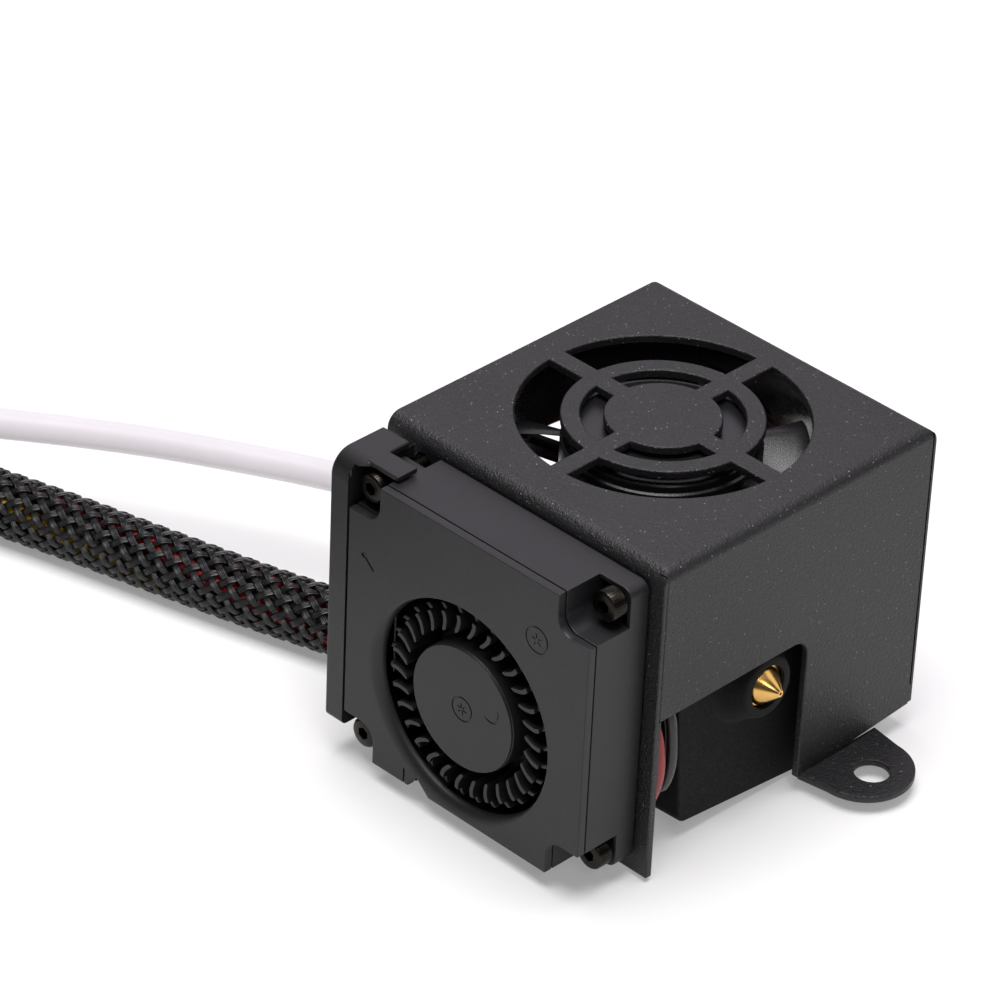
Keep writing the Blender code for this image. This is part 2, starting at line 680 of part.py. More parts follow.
def sock_mesh():
    """The silicone sock: a slack boot over the block with a tapered snout for the nozzle."""
    outline = rounded([
        (-10.3, -16.9, 1.3), (12.6, -17.5, 1.3), (13.2, 6.4, 1.8), (-12.3, 6.4, 1.8),
    ])
    front, back = 5.6, 16.4
    body = prism(outline, front, back, "y")
    snout = turned([(0, 2.0), (3.9, 2.0), (4.2, 2.4), (5.8, front + 0.5), (0, front + 0.5)], 24, "y")
    (x0, x1), (z0, z1) = BLOCK_X, BLOCK_Z
    room = prism(
        rectangle((x0 - GAP, x1 + GAP), (z0 - GAP, z1 + GAP)), BLOCK_Y[0] - GAP, back + 1, "y"
    )
    bore = turned(
        [(0, 1), (2.85, 1), (2.85, 2.35), (3.9, 2.35), (3.9, front + 3), (0, front + 3)], 20, "y"
    )
    lead_slot = box((-14.0, x0), (9.4, 18.0), (-13.2, -1.6))
    return cut(joined(body, snout), room, bore, lead_slot)


def block_mesh():
    (x0, x1), (y0, y1), (z0, z1) = BLOCK_X, BLOCK_Y, BLOCK_Z
    block = box((x0, x1), (y0, y1), (z0, z1))
    heater_y, heater_z = HEATER_AT
    thread = cylinder(M6 + GAP, y0 - 1, y1 + 1, 24, "y")
    heater_bore = moved(cylinder(HEATER_R + GAP, x0 - 1, x1 + 1, 24, "x"), (0, heater_y, heater_z))
    probe_bore = moved(cylinder(1.3, x0 - 1, x0 + 5.5, 12, "x"), (0, heater_y, PROBE_Z))
    grub_bore = moved(cylinder(M3 + GAP, z0 - 1, heater_z, 12), (3.0, heater_y, 0))
    clamp_bore = moved(cylinder(M3 + GAP, y1 - 3, y1 + 1, 12, "y"), (-6.5, 0, 1.0))
    return cut(block, thread, heater_bore, probe_bore, grub_bore, clamp_bore)


def heat_break_mesh():
    bore = TUBE_R + GAP
    return turned(
        [(bore, 12.6), (M6, 12.6), (M6, 17.4), (2.7, 17.9), (2.7, 19.5), (M6, 20.0), (M6, 31.0),
         (bore, 31.0)],
        24, "y",
    )


def heat_sink_mesh():
    """A block of transverse fins on a solid core, bored for heat break, tube and fitting."""
    y0, y1 = SINK_Y
    core, pitch = 5.6, (SINK_Y[1] - SINK_Y[0] - FIN) / (FINS - 1)
    right = []
    for k in range(FINS):
        low = y0 + pitch * k
        right += [(SINK_X, low), (SINK_X, low + FIN)]
        if k < FINS - 1:
            right += [(core, low + FIN), (core, low + pitch)]
    outline = right + [(-x, y) for x, y in reversed(right)]
    body = prism(outline, -SINK_Z, SINK_Z)
    bore = turned(
        [(0, y0 - 1), (M6 + GAP, y0 - 1), (M6 + GAP, 31.3), (TUBE_R + GAP, 31.3),
         (TUBE_R + GAP, 39.0), (M6 + GAP, 39.0), (M6 + GAP, y1 + 1), (0, y1 + 1)],
        24, "y",
    )
    holes = [
        moved(cylinder(M3 - 0.2, -SINK_Z - 1, -3.6, 12), (x, 42.6, 0)) for x in (-3.7, 3.7)
    ]
    return cut(body, bore, merged(holes))


def fitting_mesh():
    body = prism(hexagon(10.0), SINK_Y[1] + GAP, 52.2, "y")
    thread = cylinder(M6, 39.4, SINK_Y[1] + 1, 24, "y")
    bore = turned(
        [(0, 38), (TUBE_R + GAP, 38), (TUBE_R + GAP, 47.4), (3.6, 47.4), (3.6, 54), (0, 54)],
        24, "y",
    )
    return cut(joined(body, thread), bore)


def collet_mesh():
    inner = TUBE_R + GAP
    lip = 52.2 + COLLET_TRAVEL_ROOM
    return turned(
        [(inner, 50.1), (3.0, 50.1), (3.3, 50.9), (3.3, lip), (4.5, lip), (4.5, lip + 1.3),
         (4.2, lip + 1.6), (inner, lip + 1.6)],
        28, "y",
    )


def hotend(parent):
    axis = frame("hotend_axis", parent, TIP, (PITCH, 0, 0))
    block_frame = frame("block_frame", axis, turn=(0, ROLL, 0))
    piece("nozzle", nozzle_mesh(), "brass", block_frame)
    piece("silicone_sock", sock_mesh(), "black_silicone", block_frame)
    piece("heater_block", block_mesh(), "aluminium", block_frame)
    heater_y, heater_z = HEATER_AT
    cartridge = cylinder(HEATER_R, BLOCK_X[0] - 0.6, BLOCK_X[1] - 0.6, 24, "x")
    piece("heater_cartridge", cartridge, "steel", block_frame, (0, heater_y, heater_z))
    probe = cylinder(1.0, BLOCK_X[0] - 0.6, BLOCK_X[0] + 5, 12, "x")
    piece("thermistor", probe, "steel", block_frame, (0, heater_y, PROBE_Z))
    grub = cut(
        cylinder(M3, BLOCK_Z[0] + GAP, heater_z - HEATER_R - 2 * GAP, 12),
        prism(hexagon(1.5), BLOCK_Z[0] - 1, BLOCK_Z[0] + 1),
    )
    piece("cartridge_grub_screw", grub, "black_steel", block_frame, (3.0, heater_y, 0))
    clamp = turned(
        [(0, 14.8), (M3, 14.8), (M3, 17.4 + GAP), (2.7, 17.4 + GAP), (2.3, 19.0), (0, 19.2)],
        16, "y",
    )
    piece("thermistor_screw", clamp, "steel", block_frame, (-6.5, 0, 1.0))
    piece("heat_break", heat_break_mesh(), "steel", axis)
    piece("heat_sink", heat_sink_mesh(), "red_anodised_aluminium", axis)
    piece("tube_fitting", fitting_mesh(), "nickel_plate", axis)
    ring = turned([(2.35, 47.7), (3.3, 47.7), (3.3, 48.7), (2.35, 48.7)], 20, "y")
    piece("fitting_seal", ring, "black_silicone", axis)
    piece("fitting_collet", collet_mesh(), "black_matte_plastic", axis)
    piece("tube_liner", sleeve(TUBE_BORE, TUBE_R, 12.6, 55.5, 20, "y"), "white_ptfe", axis)


# Leads and cords ------------------------------------------------------------------------

# The harness's front collar, in the design frame: the leads enter its first end
COLLAR_START, COLLAR_END, COLLAR_R = Vector((8.4, 49.6, 4.2)), Vector((5.6, 58.0, 3.95)), 4.7

# Each lead's own points, from its piece to just before the collar
HEATER_ROUTE = [
    (7.6, 9.8, 8.0), (4.4, 6.8, 7.2), (2.6, 3.4, 8.2), (2.3, 1.6, 12.0), (2.3, 1.4, 16.4),
    (2.3, 2.7, 20.4), (2.3, 6.0, 23.8), (2.4, 13.0, 25.6), (2.6, 24.0, 24.0), (3.0, 34.0, 19.0),
    (4.2, 42.0, 12.0),
]
PROBE_ROUTE = [
    (7.4, 9.2, 13.0), (5.0, 6.4, 10.4), (4.1, 3.2, 10.4), (4.1, 1.6, 13.2), (4.1, 1.3, 17.0),
    (4.1, 2.3, 21.0), (4.2, 5.6, 25.0), (4.2, 13.0, 27.8), (4.0, 24.0, 27.0), (3.9, 34.0, 22.6),
    (3.8, 42.6, 14.6),
]
FAN_RED_ROUTE = [
    (20.4, 42.7, 31.4), (15.6, 45.2, 30.0), (11.6, 46.0, 26.0), (10.6, 46.0, 20.0),
    (10.4, 46.0, 14.0),
]
FAN_BLACK_ROUTE = [
    (18.8, 41.6, 31.4), (14.0, 44.2, 28.6), (9.8, 45.2, 23.6), (8.8, 45.6, 18.0),
    (8.2, 45.6, 13.0),
]
BLOWER_YELLOW_ROUTE = [(-1.9, 34.2, 9.3), (1.6, 34.2, 9.3), (3.6, 36.6, 8.4), (5.2, 41.0, 5.2)]
BLOWER_BLACK_ROUTE = [(-1.9, 34.2, 7.7), (1.6, 34.2, 7.7), (4.4, 36.4, 5.8), (7.2, 41.0, 2.6)]
LEADS = {
    "heater_lead": (HEATER_ROUTE, 0.8, "red_wire"),
    "thermistor_lead": (PROBE_ROUTE, 0.75, "black_wire"),
    "axial_fan_lead_black": (FAN_BLACK_ROUTE, 0.6, "black_wire"),
    "axial_fan_lead_red": (FAN_RED_ROUTE, 0.6, "red_wire"),
    "blower_lead_black": (BLOWER_BLACK_ROUTE, 0.6, "black_wire"),
    "blower_lead_yellow": (BLOWER_YELLOW_ROUTE, 0.6, "yellow_wire"),
}
ENTRY_R, ENTRY_ANGLES = 2.3, (165, 125, 85, 45, 300, 230)

# The free cords, on the floor's level, from the collar and the collet to their coils
HARNESS_ROUTE = [
    (5.42, 58.55, 4.56), (4.4, 62.0, 4.5), (2.0, 70.0, 4.4), (-1.8, 84.0, 4.4),
    (-5.2, 97.0, 4.4), (-8.4, 108.0, 4.4), (-11.8, 119.0, 4.4), (-16.3, 129.8, 4.4),
    (-22.5, 139.5, 4.4),
]
TAIL_ROUTE = [
    (-77.2, 81.3, 14.1), (-70.0, 80.6, 14.1), (-62.8, 82.8, 14.1), (-56.0, 88.6, 14.1),
    (-51.2, 96.6, 14.1), (-49.1, 103.0, 14.1), (-49.0, 105.6, 14.1),
]
TUBE_ROUTE = [
    (20.0, 54.05, 16.33), (19.7, 59.0, 16.1), (18.2, 66.0, 15.8), (15.2, 74.0, 15.4),
    (10.6, 84.0, 14.9), (5.0, 95.0, 14.3), (-2.2, 107.0, 13.6), (-9.6, 117.6, 13.0),
    (-18.4, 126.6, 12.5), (-27.0, 132.8, 12.1), (-36.0, 136.8, 11.8), (-46.0, 138.4, 11.6),
    (-55.0, 137.6, 11.4),
]


def from_block(x, y, z):
    """A point of the heater block's frame, in the design frame."""
    tilt = Matrix.Rotation(radians(PITCH), 3, "X") @ Matrix.Rotation(radians(ROLL), 3, "Y")
    return Vector(TIP) + tilt @ Vector((x, y, z))


def collar_entry(degrees):
    """The last two points of a lead, straight into the collar's first end."""
    ahead = (COLLAR_END - COLLAR_START).normalized()
    across = ahead.cross(Vector((0, 0, 1))).normalized()
    over = across.cross(ahead)
    spot = COLLAR_START + ENTRY_R * (
        cos(radians(degrees)) * across + sin(radians(degrees)) * over
    )
    return [tuple(spot - ahead * 2.4), tuple(spot - ahead * 0.35)]


def coil_ring(sizes):
    """The outer shape of a coil: a turned ring standing on the floor."""
    inner, outer, height = sizes
    edge = height * 0.3
    return turned(
        [(inner + edge, 0.05), (outer - edge, 0.05), (outer, height / 2),
         (outer - edge, height), (inner + edge, height), (inner, height / 2)],
        COIL_STEPS,
    )


def leads(parent):
    heater_y, heater_z = HEATER_AT
    starts = {
        "heater_lead": [tuple(from_block(BLOCK_X[0] - 1.1, heater_y, heater_z))],
        "thermistor_lead": [tuple(from_block(BLOCK_X[0] - 1.1, heater_y, PROBE_Z))],
    }
    for (name, (route, radius, material)), angle in zip(LEADS.items(), ENTRY_ANGLES):
        route = starts.get(name, []) + route + collar_entry(angle)
        cord(name, route, radius, material, parent, sides=1, spacing=3.2)
    middle = (COLLAR_START + COLLAR_END) / 2
    cord("harness_collar", [COLLAR_START, middle, COLLAR_END], COLLAR_R, "black_silicone",
         parent, sides=3)


def cords(parent):
    cord("harness_sleeve", HARNESS_ROUTE, HARNESS_R, "braided_sleeve", parent, sides=3,
         spacing=10.0)
    cord("harness_tail", TAIL_ROUTE, HARNESS_R, "braided_sleeve", parent, sides=3,
         spacing=10.0)
    cord("bowden_tube", TUBE_ROUTE, TUBE_R, "white_ptfe", parent, sides=2, spacing=8.0)
    piece("harness_coil", coil_ring(HARNESS_COIL), "braided_sleeve", parent, (*COIL_AT, 0))
    piece("bowden_coil", coil_ring(TUBE_COIL), "white_ptfe", parent, (*COIL_AT, 0))
    lying = HARNESS_COIL[2] + GAP
    x, y = PLUG_AT
    piece("harness_end_collar", cylinder(END_COLLAR_R, -END_COLLAR, 0, 12, "y"),
          "black_silicone", parent, (x, y, lying + END_COLLAR_R))
    width, length, height = PLUG
    plug = box((-width / 2, width / 2), (GAP, length), (0, height))
    sockets = [
        box((u - 1.0, u + 1.0), (length - 6.0, length + 1.0), (v - 1.0, v + 1.0))
        for u in PLUG_COLUMNS for v in (height * 0.28, height * 0.72)
    ]
    piece("harness_plug", cut(plug, *sockets), "white_plug", parent, (x, y, lying))


def main():
    for old in list(bpy.data.objects):
        bpy.data.objects.remove(old)
    centre = (-sum(BOX_X) / 2, -sum(BOX_Y) / 2, -BOX_LOW)
    assembly = frame("assembly", None, centre)
    fan_cover(assembly)
    axial_fan(assembly)
    blower(assembly)
    hotend(assembly)
    leads(assembly)
    cords(frame("floor", assembly, (0, 0, BOX_LOW)))


main()
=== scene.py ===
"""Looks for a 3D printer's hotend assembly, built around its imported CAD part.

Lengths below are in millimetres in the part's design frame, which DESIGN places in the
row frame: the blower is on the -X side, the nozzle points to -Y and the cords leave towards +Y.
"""

from math import acos, atan2, ceil, cos, hypot, pi, radians, sin, tau

import bmesh
import bpy
from mathutils import Euler, Matrix, Vector
from mathutils.geometry import interpolate_bezier


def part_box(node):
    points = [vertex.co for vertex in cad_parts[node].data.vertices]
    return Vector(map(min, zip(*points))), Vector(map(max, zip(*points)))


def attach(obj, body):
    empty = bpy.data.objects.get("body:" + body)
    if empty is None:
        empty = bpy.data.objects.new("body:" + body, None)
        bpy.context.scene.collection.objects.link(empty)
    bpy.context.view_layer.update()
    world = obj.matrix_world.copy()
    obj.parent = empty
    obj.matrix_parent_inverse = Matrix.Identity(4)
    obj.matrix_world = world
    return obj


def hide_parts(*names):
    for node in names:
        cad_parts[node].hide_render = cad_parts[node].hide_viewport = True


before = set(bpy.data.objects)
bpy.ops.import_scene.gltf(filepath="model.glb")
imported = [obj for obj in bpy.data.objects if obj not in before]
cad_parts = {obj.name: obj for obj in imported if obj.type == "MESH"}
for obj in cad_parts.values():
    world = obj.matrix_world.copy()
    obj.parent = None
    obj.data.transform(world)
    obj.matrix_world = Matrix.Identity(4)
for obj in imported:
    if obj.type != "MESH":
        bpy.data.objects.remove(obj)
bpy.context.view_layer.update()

MM = 0.001
GAP = 0.3  # clearance kept between touching pieces
KIT, FAN_WHEEL, BLOWER_WHEEL, COLLET = "hotend_kit", "axial_fan_wheel", "blower_wheel", "collet_ring"

# Fan cover: folded steel sheet
COVER_X, COVER_Y, COVER_Z = 47.4, 45.9, 43.7
SHEET = 1.0
BEND_SIDE, BEND_FRONT = 2.0, 1.5
CORNER_SLIT = 0.12
CORNER_LAP = 0.5  # how much of the side walls' edges stays visible from the front
SIDE_LOW = 3.3
WINDOW_X, WINDOW_Z, WINDOW_ROUND = 26.5, 22.6, 2.6
EAR_X, EAR_Y, EAR_ROUND = 34.1, -4.0, 6.4
EAR_ROOT = 7.1
EAR_HOLE_Y, EAR_HOLE = -5.4, 2.2
EAR_LOW = 1.1

# Grille and axial fan
FAN_X, FAN_Y = 24.6, 23.8
GRILLE_OUT, RING_OUT, RING_IN, DISC = 17.9, 12.4, 10.0, 7.2
SPOKE = 2.7
FAN_SIDE, FAN_DEPTH, FAN_BORE = 40.0, 10.0, 19.0
FAN_LOW = COVER_Z - SHEET - GAP - FAN_DEPTH
FAN_HOLES = 16.0
HUB, BLADE_TIP = 12.3, 18.4
FAN_BLADES = 7
FAN_REST = 46.9

# Blower: its own frame has +Z outwards, +X up the side plate and +Y as in the design frame
BLOWER_Y, BLOWER_Z = 21.94, 17.94
BLOWER_DEEP = 9.7
BODY_Y = (2.06 - BLOWER_Y, 41.76 - BLOWER_Y)
BODY_X = (2.0 - BLOWER_Z, 42.0 - BLOWER_Z)
POCKET, POCKET_ROUND = 5.1, 2.2
WALL = 1.2
LID = 1.2
INTAKE = 14.05
IMPELLER, IMPELLER_HUB, BLADE_IN = 13.7, 8.34, 10.2
IMPELLER_BLADES = 30
SCREW_INSET = 2.15
SCREW_R, SCREW_HEAD_R, SCREW_HEAD, NUT_FLATS = 1.0, 1.95, 2.1, 4.0
EAR_THICK, LUG_TOP = 3.0, 6.0
DUCT_LOW, DUCT_HIGH, DUCT_ROUND = 4.7, 43.0, 3.0
LEAD_HOLE = (34.2, 8.5)

# Hotend: its own frame has its origin at the nozzle's tip and +Y along the filament path
TIP = (20.0, -1.74, 18.45)
PITCH, ROLL = -3.0, 4.0
TIP_FLAT = 0.5
HEX_FLATS = 6.0
CONE_END, HEX_END, THREAD_END = 2.7, 7.1, 12.3
BLOCK_X, BLOCK_Z = (-9.0, 11.0), (-15.4, 4.6)
BLOCK_Y = (7.4, 17.4)
HEATER_AT = (12.4, -9.5)
PROBE_Z = -4.4
SINK_X, SINK_Z = 14.0, 7.3
SINK_Y = (20.0, 46.0)
FINS, FIN = 9, 1.3
M3, M6 = 1.5, 3.0
TUBE_R, TUBE_BORE = 2.0, 1.0
COLLET_TRAVEL_ROOM = 1.3

# Cords, with their heights measured from the floor
FLOOR_Z = -0.595
HARNESS_R = 4.35
COIL_AT = (-70.0, 115.0)
COLLAR_START, COLLAR_END = Vector((8.4, 49.6, 4.2)), Vector((5.6, 58.0, 3.95))
END_COLLAR, END_COLLAR_R = 14.0, 4.6
PLUG = (14.2, 12.0, 8.6)
PLUG_COLUMNS = (-4.8, -1.6, 1.6, 4.8)
PLUG_AT = (-49.0, 120.0)
PLUG_LOW = 9.5

HARNESS_ROUTE = [
    (5.42, 58.55, 4.56), (4.4, 62.0, 4.5), (2.0, 70.0, 4.4), (-1.8, 84.0, 4.4),
    (-5.2, 97.0, 4.4), (-8.4, 108.0, 4.4), (-11.8, 119.0, 4.4), (-16.3, 129.8, 4.4),
    (-22.5, 139.5, 4.4),
]
TAIL_ROUTE = [
    (-77.2, 81.3, 14.1), (-70.0, 80.6, 14.1), (-62.8, 82.8, 14.1), (-56.0, 88.6, 14.1),
    (-51.2, 96.6, 14.1), (-49.1, 103.0, 14.1), (-49.0, 105.6, 14.1),
]
TUBE_ROUTE = [
    (20.0, 54.05, 16.33), (19.7, 59.0, 16.1), (18.2, 66.0, 15.8), (15.2, 74.0, 15.4),
    (10.6, 84.0, 14.9), (5.0, 95.0, 14.3), (-2.2, 107.0, 13.6), (-9.6, 117.6, 13.0),
    (-18.4, 126.6, 12.5), (-27.0, 132.8, 12.1), (-36.0, 136.8, 11.8), (-46.0, 138.4, 11.6),
    (-55.0, 137.6, 11.4),
]

# Frames ---------------------------------------------------------------------------------


def placed(parent, place=(0.0, 0.0, 0.0), turn=(0.0, 0.0, 0.0)):
    """A frame in its parent's frame: a place in millimetres and a turn in degrees."""
    spin = Euler([radians(a) for a in turn]).to_matrix().to_4x4()
    return parent @ Matrix.Translation(Vector(place) * MM) @ spin


def linked(name, data):
    """A new object in the scene."""
    made = bpy.data.objects.new(name, data)
    bpy.context.scene.collection.objects.link(made)
    return made


def baked(bm, name):
    """The bmesh as a mesh; the bmesh is freed."""
    mesh = bpy.data.meshes.new(name)
    bm.to_mesh(mesh)
    bm.free()
    return mesh


DESIGN = Matrix.Translation(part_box("fan_cover")[1] - Vector((COVER_X, COVER_Y, COVER_Z)) * MM)
FLOOR = placed(DESIGN, (0, 0, FLOOR_Z))
BLOWER = placed(DESIGN, (-GAP, BLOWER_Y, BLOWER_Z), (0, -90, 0))
FAN = placed(DESIGN, (FAN_X, FAN_Y, FAN_LOW))
HOTEND = placed(DESIGN, TIP, (PITCH, 0, 0))
BLOCK = placed(HOTEND, turn=(0, ROLL, 0))

# Camera and light -----------------------------------------------------------------------

CAMERA_AT, CAMERA_TURN = (-379.48, -334.6, 389.68), (56.322, -2.183, -44.951)
LENS, SENSOR = 192.95, 36.0


def camera():
    made = linked("camera", bpy.data.cameras.new("camera"))
    made.data.lens = LENS
    made.data.sensor_width = SENSOR
    made.data.clip_start = 0.01
    made.matrix_world = placed(DESIGN, CAMERA_AT, CAMERA_TURN)
    bpy.context.scene.camera = made


WORLD_LIGHT = 0.07
OVER_LIGHT, BACK_LIGHT, FRONT_LIGHT, SPARK_LIGHT = 5.4, 1.2, 0.5, 0.3
FLOOR_LIGHT = 0.27


def softbox(name, place, target, size, power, tint=(1.0, 1.0, 1.0)):
    """A square area light at a place in millimetres, facing a target."""
    light = bpy.data.lights.new(name, "AREA")
    light.shape = "SQUARE"
    light.size = size * MM
    light.energy = power
    light.color = tint
    made = linked(name, light)
    aim = Vector(target) - Vector(place)
    made.matrix_world = DESIGN @ Matrix.Translation(Vector(place) * MM)
    made.rotation_euler = aim.to_track_quat("-Z", "Y").to_euler()


def studio():
    world = bpy.data.worlds.new("studio")
    world.use_nodes = True
    world.node_tree.nodes["Background"].inputs["Color"].default_value = (1, 1, 1, 1)
    world.node_tree.nodes["Background"].inputs["Strength"].default_value = WORLD_LIGHT
    bpy.context.scene.world = world
    bpy.context.scene.view_settings.view_transform = "Standard"
    middle = (20, 20, 20)
    softbox("over", (-60, 0, 640), middle, 420, OVER_LIGHT, (1.0, 0.98, 0.985))
    softbox("back", (400, 420, 430), middle, 620, BACK_LIGHT, (1.0, 0.92, 1.04))
    softbox("front", (380, -270, 480), middle, 360, FRONT_LIGHT, (1.0, 0.96, 1.0))
    softbox("spark", (-230, -380, 425), middle, 110, SPARK_LIGHT)
    bm = bmesh.new()
    bmesh.ops.create_grid(bm, x_segments=1, y_segments=1, size=6.0)
    floor = linked("floor", baked(bm, "floor"))
    floor.data.materials.append(pale_floor())


# Materials ------------------------------------------------------------------------------


class Paint:
    """A Principled material under construction, with its nodes reached by short calls."""

    def __init__(self, name, colour, roughness, metallic=0.0):
        self.material = bpy.data.materials.new(name)
        self.material.use_nodes = True
        self.tree = self.material.node_tree
        self.shader = self.tree.nodes["Principled BSDF"]
        self.set("Base Color", (*colour, 1.0))
        self.set("Roughness", roughness)
        self.set("Metallic", metallic)
        self.colour, self.height = colour, None
        self.place = self.add("ShaderNodeTexCoord").outputs["Object"]

    def add(self, kind, **settings):
        node = self.tree.nodes.new(kind)
        for key, value in settings.items():
            setattr(node, key, value)
        return node

    def link(self, output, target):
        self.tree.links.new(output, target)

    def set(self, socket, value):
        self.shader.inputs[socket].default_value = value

    def math(self, operation, first, second=0.0):
        node = self.add("ShaderNodeMath", operation=operation)
        for socket, value in zip(node.inputs, (first, second)):
            if isinstance(value, bpy.types.NodeSocket):
                self.link(value, socket)
            else:
                socket.default_value = value
        return node.outputs[0]

    def noise(self, grain, detail=2.0, stretch=(1.0, 1.0, 1.0)):
        """Noise from 0 to 1 whose lumps are about grain millimetres wide."""
        spread = self.add("ShaderNodeVectorMath", operation="MULTIPLY")
        self.link(self.place, spread.inputs[0])
        spread.inputs[1].default_value = stretch
        node = self.add("ShaderNodeTexNoise")
        self.link(spread.outputs[0], node.inputs["Vector"])
        node.inputs["Scale"].default_value = 1.0 / (grain * MM)
        node.inputs["Detail"].default_value = detail
        return node.outputs["Fac"]

    def cells(self, grain):
        """Distance to the nearest of scattered points about grain millimetres apart."""
        node = self.add("ShaderNodeTexVoronoi")
        self.link(self.place, node.inputs["Vector"])
        node.inputs["Scale"].default_value = 1.0 / (grain * MM)
        return node.outputs["Distance"]

    def band(self, value, low, high, to_low=0.0, to_high=1.0):
        node = self.add("ShaderNodeMapRange")
        self.link(value, node.inputs["Value"])
        for key, number in zip(
            ("From Min", "From Max", "To Min", "To Max"), (low, high, to_low, to_high)
        ):
            node.inputs[key].default_value = number
        return node.outputs["Result"]

    def rough(self, value, low, high):
        """Roughness from low to high as the value goes from 0.3 to 0.7."""
        self.link(self.band(value, 0.3, 0.7, low, high), self.shader.inputs["Roughness"])

    def tint(self, value, other):
        """Mixes another colour over the present one where the value is 1."""
        node = self.add("ShaderNodeMix", data_type="RGBA")
        self.link(value, node.inputs["Factor"])
        present = self.shader.inputs["Base Color"]
        if present.is_linked:
            self.link(present.links[0].from_socket, node.inputs["A"])
        else:
            node.inputs["A"].default_value = present.default_value
        node.inputs["B"].default_value = (*other, 1.0)
        self.link(node.outputs["Result"], present)

    def relief(self, value, depth, strength=1.0):
        """Adds a bump of that depth in millimetres; later ones lie on earlier ones."""
        node = self.add("ShaderNodeBump")
        node.inputs["Strength"].default_value = strength
        node.inputs["Distance"].default_value = depth * MM
        self.link(value, node.inputs["Height"])
        if self.height is not None:
            self.link(self.height, node.inputs["Normal"])
        self.height = node.outputs["Normal"]
        self.link(self.height, self.shader.inputs["Normal"])

    def worn(self, other, reach, share=0.5):
        """Lightens convex edges, by how far the rounded normal leaves the plain one."""
        edge = self.add("ShaderNodeBevel", samples=4)
        edge.inputs["Radius"].default_value = reach * MM
        plain = self.add("ShaderNodeNewGeometry").outputs["Normal"]
        dot = self.add("ShaderNodeVectorMath", operation="DOT_PRODUCT")
        self.link(edge.outputs["Normal"], dot.inputs[0])
        self.link(plain, dot.inputs[1])
        patch = self.band(self.noise(1.2), 0.42, 0.62)
        off = self.band(dot.outputs["Value"], 0.97, 0.8)
        self.tint(self.math("MULTIPLY", self.math("MULTIPLY", off, patch), share), other)


def paint(name, colour, roughness, metallic=0.0, grain=6.0, change=0.1):
    """A finish whose colour and roughness vary softly over the surface."""
    made = Paint(name, colour, roughness, metallic)
    slow = made.noise(grain, 3.0)
    made.tint(made.band(slow, 0.35, 0.65), [c * (1 + change) for c in colour])
    made.rough(slow, roughness * (1 - change / 2), roughness * (1 + change / 2))
    return made.material


def pale_floor():
    """White paper, lit from beneath a little as on a light table."""
    made = Paint("pale_floor", (0.62, 0.62, 0.62), 0.9)
    made.set("Specular IOR Level", 0.0)
    made.set("Emission Color", (1.0, 1.0, 1.0, 1.0))
    made.set("Emission Strength", FLOOR_LIGHT)
    made.rough(made.noise(20.0, 3.0), 0.85, 0.95)
    return made.material


def powder_coat():
    """Black powder coat: an orange-peel skin, a fine texture, and pale specks painted on as its
    glints.
    """
    made = Paint("powder_coat", (0.0078, 0.0069, 0.0082), 0.5)
    made.tint(made.band(made.noise(9.0, 3.0), 0.4, 0.65), (0.0094, 0.0083, 0.0099))
    peel = made.noise(0.6, 1.5)
    fine = made.noise(0.24, 2.0)
    made.rough(fine, 0.4, 0.58)
    # Pale specks in the colour: painted glints where the coat's texture would catch the light.
    painted_glints = made.band(made.cells(0.6), 0.17, 0.07)
    glint_patches = made.band(made.noise(0.9, 2.0), 0.5, 0.62)
    made.tint(made.math("MULTIPLY", painted_glints, glint_patches), (0.34, 0.34, 0.35))
    made.relief(peel, 0.11, 0.75)
    made.relief(fine, 0.13, 0.9)
    made.worn((0.022, 0.021, 0.023), 0.35, 0.6)
    return made.material


def textured_plastic(name="fan_plastic", colour=(0.0092, 0.0086, 0.0102), roughness=0.46):
    """Moulded black plastic with a fine spark-eroded texture and a few dust specks."""
    made = Paint(name, colour, roughness)
    made.tint(made.band(made.noise(12.0, 3.0), 0.4, 0.65), [c * 1.14 for c in colour])
    fine = made.noise(0.13, 2.0)
    made.rough(fine, roughness - 0.07, roughness + 0.08)
    patches = made.band(made.noise(2.6), 0.62, 0.7)
    made.tint(made.math("MULTIPLY", made.band(made.cells(0.5), 0.1, 0.04), patches),
              (0.1, 0.1, 0.105))
    made.relief(fine, 0.02, 0.7)
    made.set("Specular IOR Level", 0.4)
    made.worn([c * 1.9 for c in colour], 0.25, 0.5)
    return made.material


def gloss_plastic():
    """Polished black plastic with faint flow marks and fine scuffs."""
    made = Paint("gloss_plastic", (0.005, 0.005, 0.0055), 0.2)
    scuff = made.noise(0.5, 4.0, (1.0, 0.15, 1.0))
    made.rough(scuff, 0.14, 0.32)
    made.relief(made.noise(5.0, 1.0), 0.05, 0.25)
    made.relief(scuff, 0.008, 0.3)
    made.worn((0.015, 0.015, 0.0165), 0.2, 0.4)
    return made.material


def silicone():
    """Dull black silicone rubber with dust on it."""
    made = Paint("silicone", (0.0042, 0.0042, 0.0044), 0.7)
    made.set("Specular IOR Level", 0.2)
    fine = made.noise(0.25, 3.0)
    made.rough(fine, 0.6, 0.8)
    patches = made.band(made.noise(2.2), 0.56, 0.66)
    made.tint(made.math("MULTIPLY", made.band(made.cells(0.55), 0.16, 0.06), patches),
              (0.05, 0.05, 0.05))
    made.relief(fine, 0.02, 0.5)
    made.relief(made.noise(3.0, 1.0), 0.12, 0.3)
    return made.material


